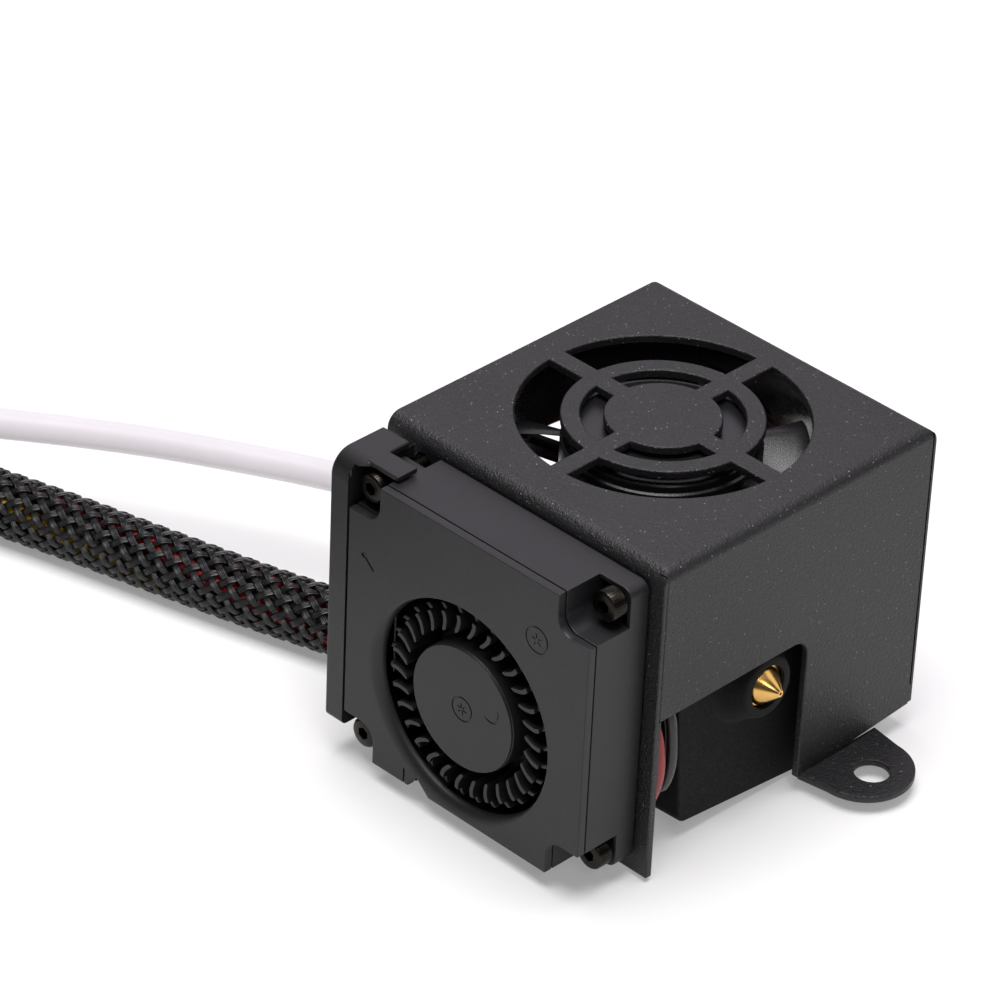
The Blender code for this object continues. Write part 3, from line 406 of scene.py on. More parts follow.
def machined(name, colour, roughness, axis="y", pitch=0.12):
    """Turned or milled metal: fine rings along its axis, and a soft change of colour."""
    made = Paint(name, colour, roughness, 1.0)
    stretch = {"x": (1.0, 0.03, 0.03), "y": (0.03, 1.0, 0.03), "z": (0.03, 0.03, 1.0)}[axis]
    rings = made.noise(pitch, 2.0, stretch)
    made.tint(made.band(made.noise(2.4, 3.0), 0.42, 0.66), [c * 0.72 for c in colour])
    made.rough(rings, roughness * 0.75, roughness * 1.35)
    made.relief(rings, 0.006, 0.7)
    made.worn([min(1.0, c * 1.15) for c in colour], 0.12, 0.6)
    return made.material


def anodised():
    """Red anodised aluminium: satin, with faint extrusion lines and paler edges."""
    made = Paint("red_anodised", (0.36, 0.014, 0.016), 0.36, 0.85)
    lines = made.noise(0.3, 3.0, (1.0, 1.0, 0.04))
    made.rough(lines, 0.28, 0.44)
    made.tint(made.band(made.noise(4.0, 2.0), 0.4, 0.66), (0.34, 0.012, 0.016))
    made.relief(lines, 0.012, 0.6)
    made.worn((0.62, 0.2, 0.19), 0.15, 0.7)
    return made.material


def ptfe():
    """Waxy, slightly translucent white PTFE with faint drawing lines, and a painted pinkish glow
    that lights it from within.
    """
    made = Paint("ptfe", (0.37, 0.35, 0.39), 0.4)
    # A painted glow: the tube gives off light of its own so that it looks brightly lit.
    made.set("Emission Color", (1.0, 0.94, 0.955, 1.0))
    made.set("Emission Strength", 0.42)
    slow = made.noise(7.0, 2.0)
    made.tint(made.band(slow, 0.4, 0.66), (0.35, 0.33, 0.365))
    made.rough(made.noise(0.4, 3.0), 0.3, 0.46)
    made.set("Subsurface Weight", 0.35)
    made.set("Subsurface Radius", (1.0, 0.9, 0.85))
    made.set("Subsurface Scale", 1.2 * MM)
    made.relief(made.noise(0.5, 2.0), 0.01, 0.4)
    return made.material


def insulation(name, colour):
    """Wire insulation: soft plastic with faint ripples and handling marks."""
    made = Paint(name, colour, 0.36)
    marks = made.noise(0.8, 3.0)
    made.rough(marks, 0.28, 0.48)
    made.tint(made.band(made.noise(3.0, 2.0), 0.42, 0.66), [c * 0.8 for c in colour])
    made.relief(marks, 0.02, 0.4)
    made.set("Coat Weight", 0.15)
    return made.material


def filament():
    """One carrier of the braid: three round black monofilaments lying side by side."""
    made = Paint("braid", (0.0045, 0.0045, 0.0055), 0.24)
    across = made.add("ShaderNodeAttribute", attribute_name="across").outputs["Fac"]
    wave = made.math("ABSOLUTE", made.math("SINE", made.math("MULTIPLY", across, 4 * pi)))
    made.relief(wave, 0.1, 0.9)
    # Darker where two monofilaments meet: painted shade in the grooves between them.
    made.tint(made.band(wave, 0.45, 0.0), (0.003, 0.003, 0.003))
    marks = made.noise(0.6, 3.0)
    made.rough(marks, 0.16, 0.34)
    return made.material


def windings():
    """Enamelled copper wire, wound in fine turns."""
    made = Paint("windings", (0.5, 0.19, 0.07), 0.34, 0.9)
    turns = made.noise(0.18, 1.0, (0.1, 0.1, 1.0))
    made.rough(turns, 0.24, 0.5)
    # Darker in the grooves between the turns: painted shade.
    made.tint(made.band(turns, 0.55, 0.35), (0.16, 0.05, 0.02))
    made.relief(turns, 0.05, 0.8)
    return made.material


def ferrite():
    made = Paint("ferrite", (0.05, 0.05, 0.054), 0.7, 0.2)
    grain = made.noise(0.3, 4.0)
    made.rough(grain, 0.6, 0.82)
    made.tint(made.band(grain, 0.5, 0.7), (0.09, 0.09, 0.1))
    made.relief(grain, 0.04, 0.6)
    return made.material


def nylon():
    """The connector's natural nylon: slightly yellow, faintly grained."""
    made = Paint("nylon", (0.76, 0.74, 0.68), 0.42)
    grain = made.noise(0.35, 3.0)
    made.rough(grain, 0.34, 0.52)
    made.tint(made.band(made.noise(5.0), 0.42, 0.66), (0.7, 0.67, 0.6))
    made.set("Subsurface Weight", 0.15)
    made.set("Subsurface Scale", 0.8 * MM)
    made.relief(grain, 0.015, 0.5)
    return made.material


def shrink():
    """Black heat-shrink sleeve: smooth, with soft swells from what lies beneath."""
    made = Paint("heat_shrink", (0.006, 0.006, 0.0065), 0.4)
    swell = made.noise(3.2, 1.0, (1.0, 0.5, 1.0))
    made.rough(made.noise(0.6, 3.0), 0.32, 0.5)
    made.relief(swell, 0.5, 0.35)
    made.relief(made.noise(0.3, 3.0), 0.015, 0.5)
    return made.material


PAINTS = {
    "powder": powder_coat(),
    "fan": textured_plastic(),
    "duct": textured_plastic("duct_plastic", (0.0088, 0.0084, 0.0094), 0.42),
    "gloss": gloss_plastic(),
    "wheel": textured_plastic("wheel_plastic", (0.007, 0.007, 0.0078), 0.3),
    "silicone": silicone(),
    "brass": paint("nozzle_brass", (0.66, 0.4, 0.12), 0.22, 1.0, 1.2, 0.12),
    "bushing": machined("bushing_brass", (0.6, 0.42, 0.2), 0.35, "z"),
    "anodised": anodised(),
    "aluminium": machined("milled_aluminium", (0.66, 0.66, 0.67), 0.36, "x"),
    "black_screw": machined("black_oxide", (0.03, 0.027, 0.023), 0.3, "z", 0.2),
    "zinc": machined("zinc_steel", (0.55, 0.55, 0.57), 0.3, "z", 0.2),
    "steel": machined("plain_steel", (0.5, 0.49, 0.48), 0.28, "y"),
    "nickel": machined("nickel", (0.66, 0.64, 0.59), 0.2, "y"),
    "ptfe": ptfe(),
    "copper": windings(),
    "ferrite": ferrite(),
    "red": insulation("red_insulation", (0.28, 0.008, 0.006)),
    "black": insulation("black_insulation", (0.006, 0.006, 0.0065)),
    "yellow": insulation("yellow_insulation", (0.4, 0.22, 0.008)),
    "braid": filament(),
    "nylon": nylon(),
    "shrink": shrink(),
}


# Outlines -------------------------------------------------------------------------------


def arc(centre, radius, start, end, steps):
    """Points on an arc, from start to end in degrees."""
    angles = [radians(start + (end - start) * i / steps) for i in range(steps + 1)]
    return [(centre[0] + radius * cos(a), centre[1] + radius * sin(a)) for a in angles]


def circle(radius, steps):
    return arc((0.0, 0.0), radius, 0.0, 360.0, steps)[:-1]


def rectangle(x, y):
    return [(x[0], y[0]), (x[1], y[0]), (x[1], y[1]), (x[0], y[1])]


def rounded(corners, steps=6):
    """An outline through (x, y, radius) corners, each rounded by an arc of its radius."""
    outline = []
    for i, (x, y, radius) in enumerate(corners):
        corner = Vector((x, y))
        if not radius:
            outline.append((x, y))
            continue
        back = (Vector(corners[i - 1][:2]) - corner).normalized()
        ahead = (Vector(corners[(i + 1) % len(corners)][:2]) - corner).normalized()
        half = acos(max(-1.0, min(1.0, back.dot(ahead)))) / 2
        middle = corner + (back + ahead).normalized() * (radius / sin(half))
        first = corner + back * (radius / (sin(half) / cos(half)))
        last = corner + ahead * (radius / (sin(half) / cos(half)))
        begin = atan2(first.y - middle.y, first.x - middle.x)
        turn = atan2(last.y - middle.y, last.x - middle.x) - begin
        turn = (turn + pi) % tau - pi
        for k in range(steps + 1):
            angle = begin + turn * k / steps
            outline.append((middle.x + radius * cos(angle), middle.y + radius * sin(angle)))
    return outline


def hexagon(flats):
    return circle(flats / 2 / cos(pi / 6), 6)


# Solids ---------------------------------------------------------------------------------

AXES = {
    "x": lambda u, v, h: (h, u, v),
    "y": lambda u, v, h: (u, h, v),
    "z": lambda u, v, h: (u, v, h),
}


def closed(bm):
    bmesh.ops.remove_doubles(bm, verts=bm.verts, dist=1e-7)
    bmesh.ops.recalc_face_normals(bm, faces=bm.faces)
    return baked(bm, "solid")


def skinned(bm, rings):
    """A closed solid over rings of vertices, one after another."""
    for a, b in zip(rings, rings[1:]):
        for k in range(len(a)):
            bm.faces.new((a[k - 1], a[k], b[k], b[k - 1]))
    bm.faces.new(rings[0])
    bm.faces.new(rings[-1])
    return closed(bm)


def prism(outline, low, high, axis="z"):
    """An outline pushed from low to high along an axis."""
    bm = bmesh.new()
    ends = [
        [bm.verts.new(Vector(AXES[axis](u, v, h)) * MM) for u, v in outline]
        for h in (low, high)
    ]
    for ring in ends:
        bm.faces.new(ring)
    for i in range(len(outline)):
        bm.faces.new((ends[0][i - 1], ends[0][i], ends[1][i], ends[1][i - 1]))
    return closed(bm)


def box(x, y, z):
    return prism(rectangle(x, y), z[0], z[1])


def turned(profile, steps, axis="z"):
    """A closed (radius, height) profile turned about an axis; radius 0 is on the axis."""
    bm = bmesh.new()
    rings = []
    for radius, height in profile:
        turns = circle(radius, steps) if radius else [(0.0, 0.0)]
        rings.append([bm.verts.new(Vector(AXES[axis](u, v, height)) * MM) for u, v in turns])
    for i, ring in enumerate(rings):
        other = rings[i - 1]
        for k in range(steps):
            pair = (ring[k % len(ring)], ring[(k + 1) % len(ring)])
            back = (other[(k + 1) % len(other)], other[k % len(other)])
            corners = list(dict.fromkeys(pair + back))
            if len(corners) > 2:
                bm.faces.new(corners)
    return closed(bm)


def cylinder(radius, low, high, steps=48, axis="z"):
    return turned([(0, low), (radius, low), (radius, high), (0, high)], steps, axis)


def sleeve(inner, outer, low, high):
    return turned([(inner, low), (outer, low), (outer, high), (inner, high)], 40)


def moved(mesh, offset=(0.0, 0.0, 0.0), degrees=0.0, axis="Z"):
    """The mesh turned about an axis through its origin, then moved."""
    turn = Matrix.Rotation(radians(degrees), 4, axis)
    mesh.transform(Matrix.Translation(Vector(offset) * MM) @ turn)
    return mesh


def merged(meshes):
    """Several solids as one mesh."""
    bm = bmesh.new()
    for mesh in meshes:
        bm.from_mesh(mesh)
        bpy.data.meshes.remove(mesh)
    return baked(bm, "solids")


def bores(spots, low, high, radius=SCREW_R + GAP):
    """Cutters for round holes along Z, at spots in X and Y."""
    return [moved(cylinder(radius, low, high, 24), (x, y, 0)) for x, y in spots]


def evaluated(body):
    return bpy.data.meshes.new_from_object(
        body.evaluated_get(bpy.context.evaluated_depsgraph_get())
    )


def combined(mesh, operation, tools):
    """The mesh with each tool joined on (UNION), cut away (DIFFERENCE) or kept (INTERSECT)."""
    body = linked("body", mesh)
    helpers = []
    for tool_mesh in tools:
        tool = linked("tool", tool_mesh)
        change = body.modifiers.new("change", "BOOLEAN")
        change.operation = operation
        change.solver = "EXACT"
        change.object = tool
        helpers.append(tool)
    bpy.context.view_layer.update()
    result = evaluated(body)
    for helper in [body, *helpers]:
        bpy.data.objects.remove(helper)
    return result


def joined(mesh, *tools):
    return combined(mesh, "UNION", tools)


def cut(mesh, *tools):
    return combined(mesh, "DIFFERENCE", tools)


# Pieces ---------------------------------------------------------------------------------


def softened(mesh, width, segments=2):
    """The mesh with its edges rounded, for shapes that are cut once more afterwards."""
    body = linked("body", mesh)
    round_edges(body, width, segments)
    bpy.context.view_layer.update()
    result = evaluated(body)
    bpy.data.objects.remove(body)
    return result


def round_edges(body, width, segments=2):
    bevel = body.modifiers.new("edges", "BEVEL")
    bevel.width = width * MM
    bevel.segments = segments
    bevel.limit_method = "ANGLE"
    bevel.angle_limit = radians(34)
    bevel.use_clamp_overlap = False


def carried(made, body, nodes):
    """The object on its body and the CAD nodes it stands for."""
    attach(made, body)
    if nodes:
        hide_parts(*([nodes] if isinstance(nodes, str) else nodes))
    return made


def piece(name, mesh, finish, body, where, nodes=(), edge=0.0, sharp=38):
    """A visible piece in its frame: shaded, its edges rounded, riding on its body."""
    mesh.name = name
    mesh.shade_smooth()
    mesh.set_sharp_from_angle(angle=radians(sharp))
    mesh.materials.clear()
    mesh.materials.append(PAINTS[finish])
    made = linked(name, mesh)
    made.matrix_world = where
    if edge:
        round_edges(made, edge)
    flat = made.modifiers.new("flat", "WEIGHTED_NORMAL")
    flat.keep_sharp = True
    return carried(made, body, nodes)


def repaint(node, finish, edge=0.0):
    """Gives a carried-over CAD node a procedural finish and, if asked, rounded edges."""
    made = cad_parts[node]
    made.data.materials.clear()
    made.data.materials.append(PAINTS[finish])
    if edge:
        round_edges(made, edge)


def smooth_route(route, spacing):
    """Points about a spacing apart on a smooth curve through the route's own points."""
    points = [Vector(p) for p in route]
    curve = []
    for i in range(len(points) - 1):
        before = points[max(i - 1, 0)]
        after = points[min(i + 2, len(points) - 1)]
        span = (points[i + 1] - points[i]).length
        lead = (points[i + 1] - before).normalized() * span / 3
        tail = (after - points[i]).normalized() * span / 3
        count = max(2, ceil(span / spacing) + 1)
        curve += interpolate_bezier(
            points[i], points[i] + lead, points[i + 1] - tail, points[i + 1], count
        )[:-1]
    return curve + [points[-1]]


def wire(name, points, radius, finish, body, where, nodes=(), sides=4):
    """A round wire or tube along the points, as a curve."""
    curve = bpy.data.curves.new(name, "CURVE")
    curve.dimensions = "3D"
    curve.bevel_depth = radius * MM
    curve.bevel_resolution = sides
    curve.use_fill_caps = True
    spline = curve.splines.new("POLY")
    spline.points.add(len(points) - 1)
    for point, place in zip(spline.points, points):
        point.co = (*(Vector(place) * MM), 1.0)
    spline.use_smooth = True
    curve.materials.append(PAINTS[finish])
    made = linked(name, curve)
    made.matrix_world = where
    return carried(made, body, nodes)


# Cords ----------------------------------------------------------------------------------


def eased(share):
    """A smooth step from 0 to 1."""
    share = max(0.0, min(1.0, share))
    return share * share * (3 - 2 * share)


def around_coil(radius, degrees, height):
    angle = radians(degrees)
    return Vector((COIL_AT[0] + radius * cos(angle), COIL_AT[1] + radius * sin(angle), height))


def harness_line():
    """The harness's centreline: its route, two turns of coil, and its end on top of them."""
    outer, inner, low, high = 43.85, 35.0, 4.4, 14.1
    coil = []
    for step in range(1, 119):
        degrees = 27.3 + 5.0 * step
        radius = outer + 9.55 * (1 - eased((degrees - 20.0) / 64.0))
        radius -= (outer - inner) * eased((degrees - 360.0) / 60.0)
        coil.append(around_coil(radius, degrees, low + (high - low) * eased((degrees - 560) / 58)))
        if degrees > 610.0:
            break
    end = (PLUG_AT[0], PLUG_AT[1] - 2.0, high)
    route = [Vector(p) for p in HARNESS_ROUTE] + coil + [Vector(p) for p in TAIL_ROUTE]
    return smooth_route([*route, end], 2.5)


def tube_line():
    """The feed tube's centreline: its route, then nearly two turns, one on the other."""
    radius, low, high = 22.1, 2.1, 6.3
    coil = [around_coil(24.2, 74.0, 9.6), around_coil(22.5, 88.0, 7.3)]
    for step in range(45):
        degrees = 104.0 + 15.0 * step
        fall = eased((degrees - 404.0) / 44.0)
        settle = 0.5 * (1 - eased((degrees - 104.0) / 30.0))
        coil.append(around_coil(radius, degrees, high + settle - (high - low) * fall))
        if degrees > 735.0:
            break
    return smooth_route([Vector(p) for p in TUBE_ROUTE] + coil, 2.0)


def resampled(line, spacing):
    """The same line with points an even spacing apart."""
    walked = [0.0]
    for a, b in zip(line, line[1:]):
        walked.append(walked[-1] + (b - a).length)
    count = max(2, round(walked[-1] / spacing))
    points, at = [], 0
    for k in range(count + 1):
        goal = walked[-1] * k / count
        while at < len(line) - 2 and walked[at + 1] < goal:
            at += 1
        share = (goal - walked[at]) / max(1e-9, walked[at + 1] - walked[at])
        points.append(line[at].lerp(line[at + 1], min(1.0, share)))
    return points


def length_of(line):
    return sum((b - a).length for a, b in zip(line, line[1:]))


def carried_frames(line):
    """For each point of a line, its direction and two sideways directions that don't twist."""
    frames = []
    side = Vector((0, 0, 1))
    for i, point in enumerate(line):
        ahead = (line[min(i + 1, len(line) - 1)] - line[max(i - 1, 0)]).normalized()
        side = (side - ahead * side.dot(ahead)).normalized()
        frames.append((point, ahead, side, ahead.cross(side)))
    return frames


CARRIERS = 12  # ribbons of the braid each way
BRAID_PITCH = 32.4  # length in which a ribbon goes once round
RIBBON, RIBBON_THICK, WEAVE = 0.96, 0.26, 0.2
FINE_LENGTH = 112.0  # of the braid, from the hotend on, with finer sections


def braid_mesh(line):
    """Flat ribbons wound both ways round the line, each over one and under one."""
    rows = BRAID_PITCH / CARRIERS
    fine, coarse = rows / 8, rows / 4
    points = resampled(line, fine)
    step = length_of(points) / (len(points) - 1)
    frames = list(enumerate(carried_frames(points)))
    start = int(FINE_LENGTH / fine)
    frames = frames[:start] + frames[start::round(coarse / fine)]
    bm = bmesh.new()
    across = bm.verts.layers.float.new("across")
    middle = HARNESS_R - RIBBON_THICK - WEAVE
    slant = tau * middle / BRAID_PITCH
    lean = hypot(1, slant)
    for way in (1, -1):
        for carrier in range(CARRIERS):
            last = None
            for i, (point, ahead, side, up) in frames:
                along = step * i
                turn = tau * (way * along / BRAID_PITCH + carrier / CARRIERS)
                lift = WEAVE * way * cos(tau * along / rows)
                section = []
                for share, rise in ((-0.5, 0.0), (-0.28, 0.85), (0.28, 0.85), (0.5, 0.0)):
                    offset = share * RIBBON
                    angle = turn + way * offset / lean / middle
                    shift = -offset * slant / lean
                    radius = middle + lift + rise * RIBBON_THICK
                    place = point + ahead * shift + radius * (side * cos(angle) + up * sin(angle))
                    vert = bm.verts.new(place * MM)
                    vert[across] = share + 0.5
                    section.append(vert)
                if last:
                    for k in range(4):
                        bm.faces.new((last[k - 1], last[k], section[k], section[k - 1]))
                else:
                    bm.faces.new(section)
                last = section
            bm.faces.new(last[::-1])
    bmesh.ops.recalc_face_normals(bm, faces=bm.faces)
    return baked(bm, "braid")


def harness():
    line = harness_line()
    sleeve_piece = piece(
        "harness_braid", braid_mesh(line), "braid", KIT, FLOOR,
        ("harness_sleeve", "harness_coil", "harness_tail"), sharp=60,
    )
    spacing, bundle, strand = 3.0, 2.4, 1.15
    lay = 95.0  # length in which the bundle of wires goes once round
    frames = carried_frames(resampled(line, spacing))
    colours = ("red", "black", "yellow", "black", "red", "black")
    for k, colour in enumerate(colours):
        points = []
        for i, (point, _, side, up) in enumerate(frames):
            angle = tau * (spacing * i / lay + k / len(colours))
            points.append(point + bundle * (side * cos(angle) + up * sin(angle)))
        wire(f"harness_wire_{k + 1}", points, strand, colour, KIT, FLOOR,
                 sides=2)
    collars = [front_collar(), end_collar()]
    plug = plug_piece()
    [FLOOR @ (p * MM) for p in resampled(line, 2.5)]


def lofted(line, radii):
    """A round solid whose radius follows the line's points."""
    bm = bmesh.new()
    rings = []
    for (point, _, side, up), radius in zip(carried_frames(line), radii):
        rings.append([
            bm.verts.new((point + radius * (side * u + up * v)) * MM)
            for u, v in circle(1.0, 32)
        ])
    return skinned(bm, rings)


def front_collar():
    """The heat-shrink collar that ends the sleeve where the leads fan out."""
    shares = [0.0, 0.05, 0.14, 0.3, 0.5, 0.72, 0.9, 0.97, 1.0]
    line = [COLLAR_START.lerp(COLLAR_END, s) for s in shares]
    radii = [3.7, 4.1, 4.28, 4.3, 4.34, 4.38, 4.38, 4.36, 4.28]
    return piece("harness_front_collar", lofted(line, radii), "shrink", KIT,
                 DESIGN, "harness_collar")


def end_collar():
    x, y = PLUG_AT
    height = PLUG_LOW + END_COLLAR_R
    line = [Vector((x, y - END_COLLAR * (1 - s), height)) for s in
            (0.0, 0.02, 0.06, 0.2, 0.45, 0.7, 0.88, 0.97, 1.0)]
    radii = [4.42, 4.56, 4.6, 4.57, 4.5, 4.3, 3.95, 3.75, 3.55]
    return piece("harness_end_sleeve", lofted(line, radii), "shrink", KIT,
                 FLOOR, "harness_end_collar")


def plug_bars(half, low, high):
    """Square bars in the plug's two rows of places."""
    side = rectangle((-half, half), (-half, half))
    rows = (PLUG[2] * 0.26, PLUG[2] * 0.66)
    return merged([
        moved(prism(side, low, high, "y"), (u, 0, v)) for u in PLUG_COLUMNS for v in rows
    ])


def plug_piece():
    """A two-row wire-to-wire connector housing with a latch and square sockets."""
    width, length, height = PLUG
    body = prism(
        rounded([(-width / 2, 0, 0.5), (width / 2, 0, 0.5), (width / 2, height - 0.7, 0.5),
                 (-width / 2, height - 0.7, 0.5)]),
        GAP, length, "y",
    )
    latch = joined(
        box((-2.6, 2.6), (2.2, length - 1.6), (height - 0.9, height)),
        box((-width / 2 + 0.6, -width / 2 + 1.6), (GAP, length), (height - 0.9, height - 0.35)),
        box((width / 2 - 1.6, width / 2 - 0.6), (GAP, length), (height - 0.9, height - 0.35)),
    )
    sockets = plug_bars(1.1, length - 7.0, length + 1.0)
    pins = plug_bars(0.62, length - 8.0, length - 1.8)
    where = placed(FLOOR, (*PLUG_AT, PLUG_LOW))
    made = piece("harness_connector", cut(joined(body, latch), sockets), "nylon",
                 KIT, where, "harness_plug", edge=0.18)
    contacts = piece("connector_contacts", pins, "zinc", KIT, where, edge=0.1)
    contacts.parent = made
    contacts.matrix_parent_inverse = made.matrix_world.inverted()
    return made


def feed_tube():
    line = tube_line()
    made = wire("feed_tube", line, TUBE_R, "ptfe", KIT, FLOOR,
                ("bowden_tube", "bowden_coil"), sides=7)


# Fan cover ------------------------------------------------------------------------------


def screw_places():
    """Y and Z of the blower's four screws in the design frame."""
    low_y, high_y = (BODY_Y[0] + BLOWER_Y + SCREW_INSET, BODY_Y[1] + BLOWER_Y - SCREW_INSET)
    low_z, high_z = (BODY_X[0] + BLOWER_Z + SCREW_INSET, BODY_X[1] + BLOWER_Z - SCREW_INSET)
    return [(low_y, high_z), (low_y, low_z), (high_y, high_z), (high_y, low_z)]


def stud_places():
    """Two opposite corners of the fan, where welded studs hold it."""
    return [(FAN_X - FAN_HOLES, FAN_Y - FAN_HOLES), (FAN_X + FAN_HOLES, FAN_Y + FAN_HOLES)]


def outer_shell_outline():
    """The folded sheet's outer side, from the -X plate over the top to the +X wall."""
    return (
        [(0.0, 0.0)]
        + arc((BEND_SIDE, COVER_Z - BEND_SIDE), BEND_SIDE, 180, 90, 12)
        + arc((COVER_X - BEND_SIDE, COVER_Z - BEND_SIDE), BEND_SIDE, 90, 0, 12)
        + [(COVER_X, SIDE_LOW)]
    )


def inner_shell_outline():
    inside = BEND_SIDE - SHEET
    return (
        [(COVER_X - SHEET, SIDE_LOW)]
        + arc((COVER_X - BEND_SIDE, COVER_Z - BEND_SIDE), inside, 0, 90, 8)
        + arc((BEND_SIDE, COVER_Z - BEND_SIDE), inside, 90, 180, 8)
        + [(SHEET, 0.0)]
    )


def flared_slot(inner, outer, steps, flare):
    """A cutter for a quarter of a ring, whose mouth is rounded where it meets the top face."""
    bm = bmesh.new()
    rings = []
    for depth, spread in ((3.0, 0.0), (flare, 0.0), (flare * 0.62, flare * 0.075),
                          (flare * 0.29, flare * 0.3), (flare * 0.08, flare * 0.61),
                          (0.0, flare), (-1.0, flare)):
        half = SPOKE / 2 - spread
        wide, narrow = outer + spread, inner - spread
        ends = [acos((r * r - half * half) ** 0.5 / r) * 180 / pi for r in (narrow, wide)]
        ring = arc((0, 0), wide, ends[1], 90 - ends[1], steps)
        ring += arc((0, 0), narrow, 90 - ends[0], ends[0], steps)
        rings.append([bm.verts.new(Vector((x, y, COVER_Z - depth)) * MM) for x, y in ring])
    return skinned(bm, rings)


def grille_slots():
    """The four openings of each of the grille's two rings."""
    slots = []
    for inner, outer, steps in ((RING_OUT, GRILLE_OUT, 36), (DISC, RING_IN, 22)):
        for quarter in range(4):
            cutter = flared_slot(inner, outer, steps, 0.24)
            slots.append(moved(cutter, (FAN_X, FAN_Y, 0), 90 * quarter))
    return merged(slots)


def cover_front():
    """The -Y wall with its bend to the top, its window, its cut corner and its ear."""
    inside = BEND_FRONT - SHEET
    centre = (BEND_FRONT, COVER_Z - BEND_FRONT)
    bend = (
        [(0.0, EAR_LOW)]
        + arc(centre, BEND_FRONT, 180, 90, 10)
        + [(BEND_FRONT + 0.5, COVER_Z), (BEND_FRONT + 0.5, COVER_Z - SHEET)]
        + arc(centre, inside, 90, 180, 6)
        + [(SHEET, EAR_LOW)]
    )
    edge = CORNER_LAP + CORNER_SLIT
    wall = prism(bend, edge, COVER_X - edge, "x")
    window = prism(
        rounded([
            (-5.0, -5.0, 0),
            (WINDOW_X, -5.0, 0),
            (WINDOW_X, WINDOW_Z, WINDOW_ROUND),
            (-5.0, WINDOW_Z, 0),
        ], 12),
        -1.0, 3.0, "y",
    )
    chamfer = [(43.4, EAR_LOW - 1), (48.0, EAR_LOW - 1), (48.0, 4.2)]
    corner = prism(chamfer, -1.0, 3.0, "y")
    envelope = prism(outer_shell_outline(), -1.0, COVER_Y, "y")
    wall = combined(softened(cut(wall, window, corner), 0.2, 3), "INTERSECT", [envelope])
    ear = prism(
        [(EAR_X - EAR_ROOT, SHEET / 2)]
        + arc((EAR_X, EAR_Y), EAR_ROUND, 180, 360, 40)
        + [(EAR_X + EAR_ROOT, SHEET / 2)],
        EAR_LOW, EAR_LOW + SHEET,
    )
    return joined(wall, softened(ear, 0.2, 3))


def cover():
    shell = softened(
        prism(outer_shell_outline() + inner_shell_outline(), 0.0, COVER_Y, "y"), 0.2, 3
    )
    span = (CORNER_LAP, COVER_X - CORNER_LAP)
    depth = (-1.0, SHEET + 0.05)
    front_strip = box(span, (-1.0, BEND_FRONT), (COVER_Z - 3, COVER_Z + 1))
    front_lap = box(span, depth, (WINDOW_Z, COVER_Z - 2.5))
    right_lap = box((COVER_X / 2, span[1]), depth, (EAR_LOW + 5, WINDOW_Z + 1))
    shell = joined(cut(shell, front_strip, front_lap, right_lap), cover_front())
    holes = [
        moved(cylinder(SCREW_R + GAP, -1, 2, 24, "x"), (0, y, z)) for y, z in screw_places()
    ]
    lead_hole = moved(cylinder(2.2, -1, 2, 24, "x"), (0, *LEAD_HOLE))
    rise = EAR_LOW + SHEET
    ear_hole = turned(
        [(0, -1), (EAR_HOLE + 0.2, -1), (EAR_HOLE + 0.2, EAR_LOW), (EAR_HOLE, EAR_LOW + 0.2),
         (EAR_HOLE, rise - 0.24), (EAR_HOLE + 0.07, rise - 0.08), (EAR_HOLE + 0.24, rise),
         (EAR_HOLE + 0.24, 5), (0, 5)],
        64,
    )
    moved(ear_hole, (EAR_X, EAR_HOLE_Y, 0))
    shell = cut(shell, grille_slots(), merged([*holes, lead_hole, ear_hole]))
    piece("cover_sheet", shell, "powder", KIT, DESIGN, "fan_cover")
    studs = [
        moved(cylinder(M3, COVER_Z - 15.5, COVER_Z - SHEET, 32), (x, y, 0))
        for x, y in stud_places()
    ]
    piece("cover_studs", merged(studs), "zinc", KIT, DESIGN, edge=0.2)


# Axial fan ------------------------------------------------------------------------------


def fan_frame():
    half = FAN_SIDE / 2
    corners = [(-half, -half, 3), (half, -half, 3), (half, half, 3), (-half, half, 3)]
    body = prism(rounded(corners, 10), 0, FAN_DEPTH)
    flare = turned(
        [(0, -1), (FAN_BORE + 0.5, -1), (FAN_BORE, 1.6), (FAN_BORE, FAN_DEPTH - 2.0),
         (FAN_BORE + 0.5, FAN_DEPTH + 1), (0, FAN_DEPTH + 1)],
        96,
    )
    spread = (-FAN_HOLES, FAN_HOLES)
    holes = bores([(x, y) for x in spread for y in spread], -1, FAN_DEPTH + 1, M3 + GAP)
    body = cut(body, flare, merged(holes))
    for turn in (15, 105, 195, 285):
        strut = moved(box((11.0, FAN_BORE + 0.7), (-1.1, 1.1), (0, 1.8)), degrees=turn)
        body = joined(body, strut)
    cup = turned([(2.5, 0), (12.2, 0), (12.2, 1.3), (3.2, 1.3), (3.2, 6.6), (2.5, 6.6)], 64)
    piece("fan_frame", joined(body, cup), "gloss", KIT, FAN,
          "axial_fan_frame", edge=0.2)


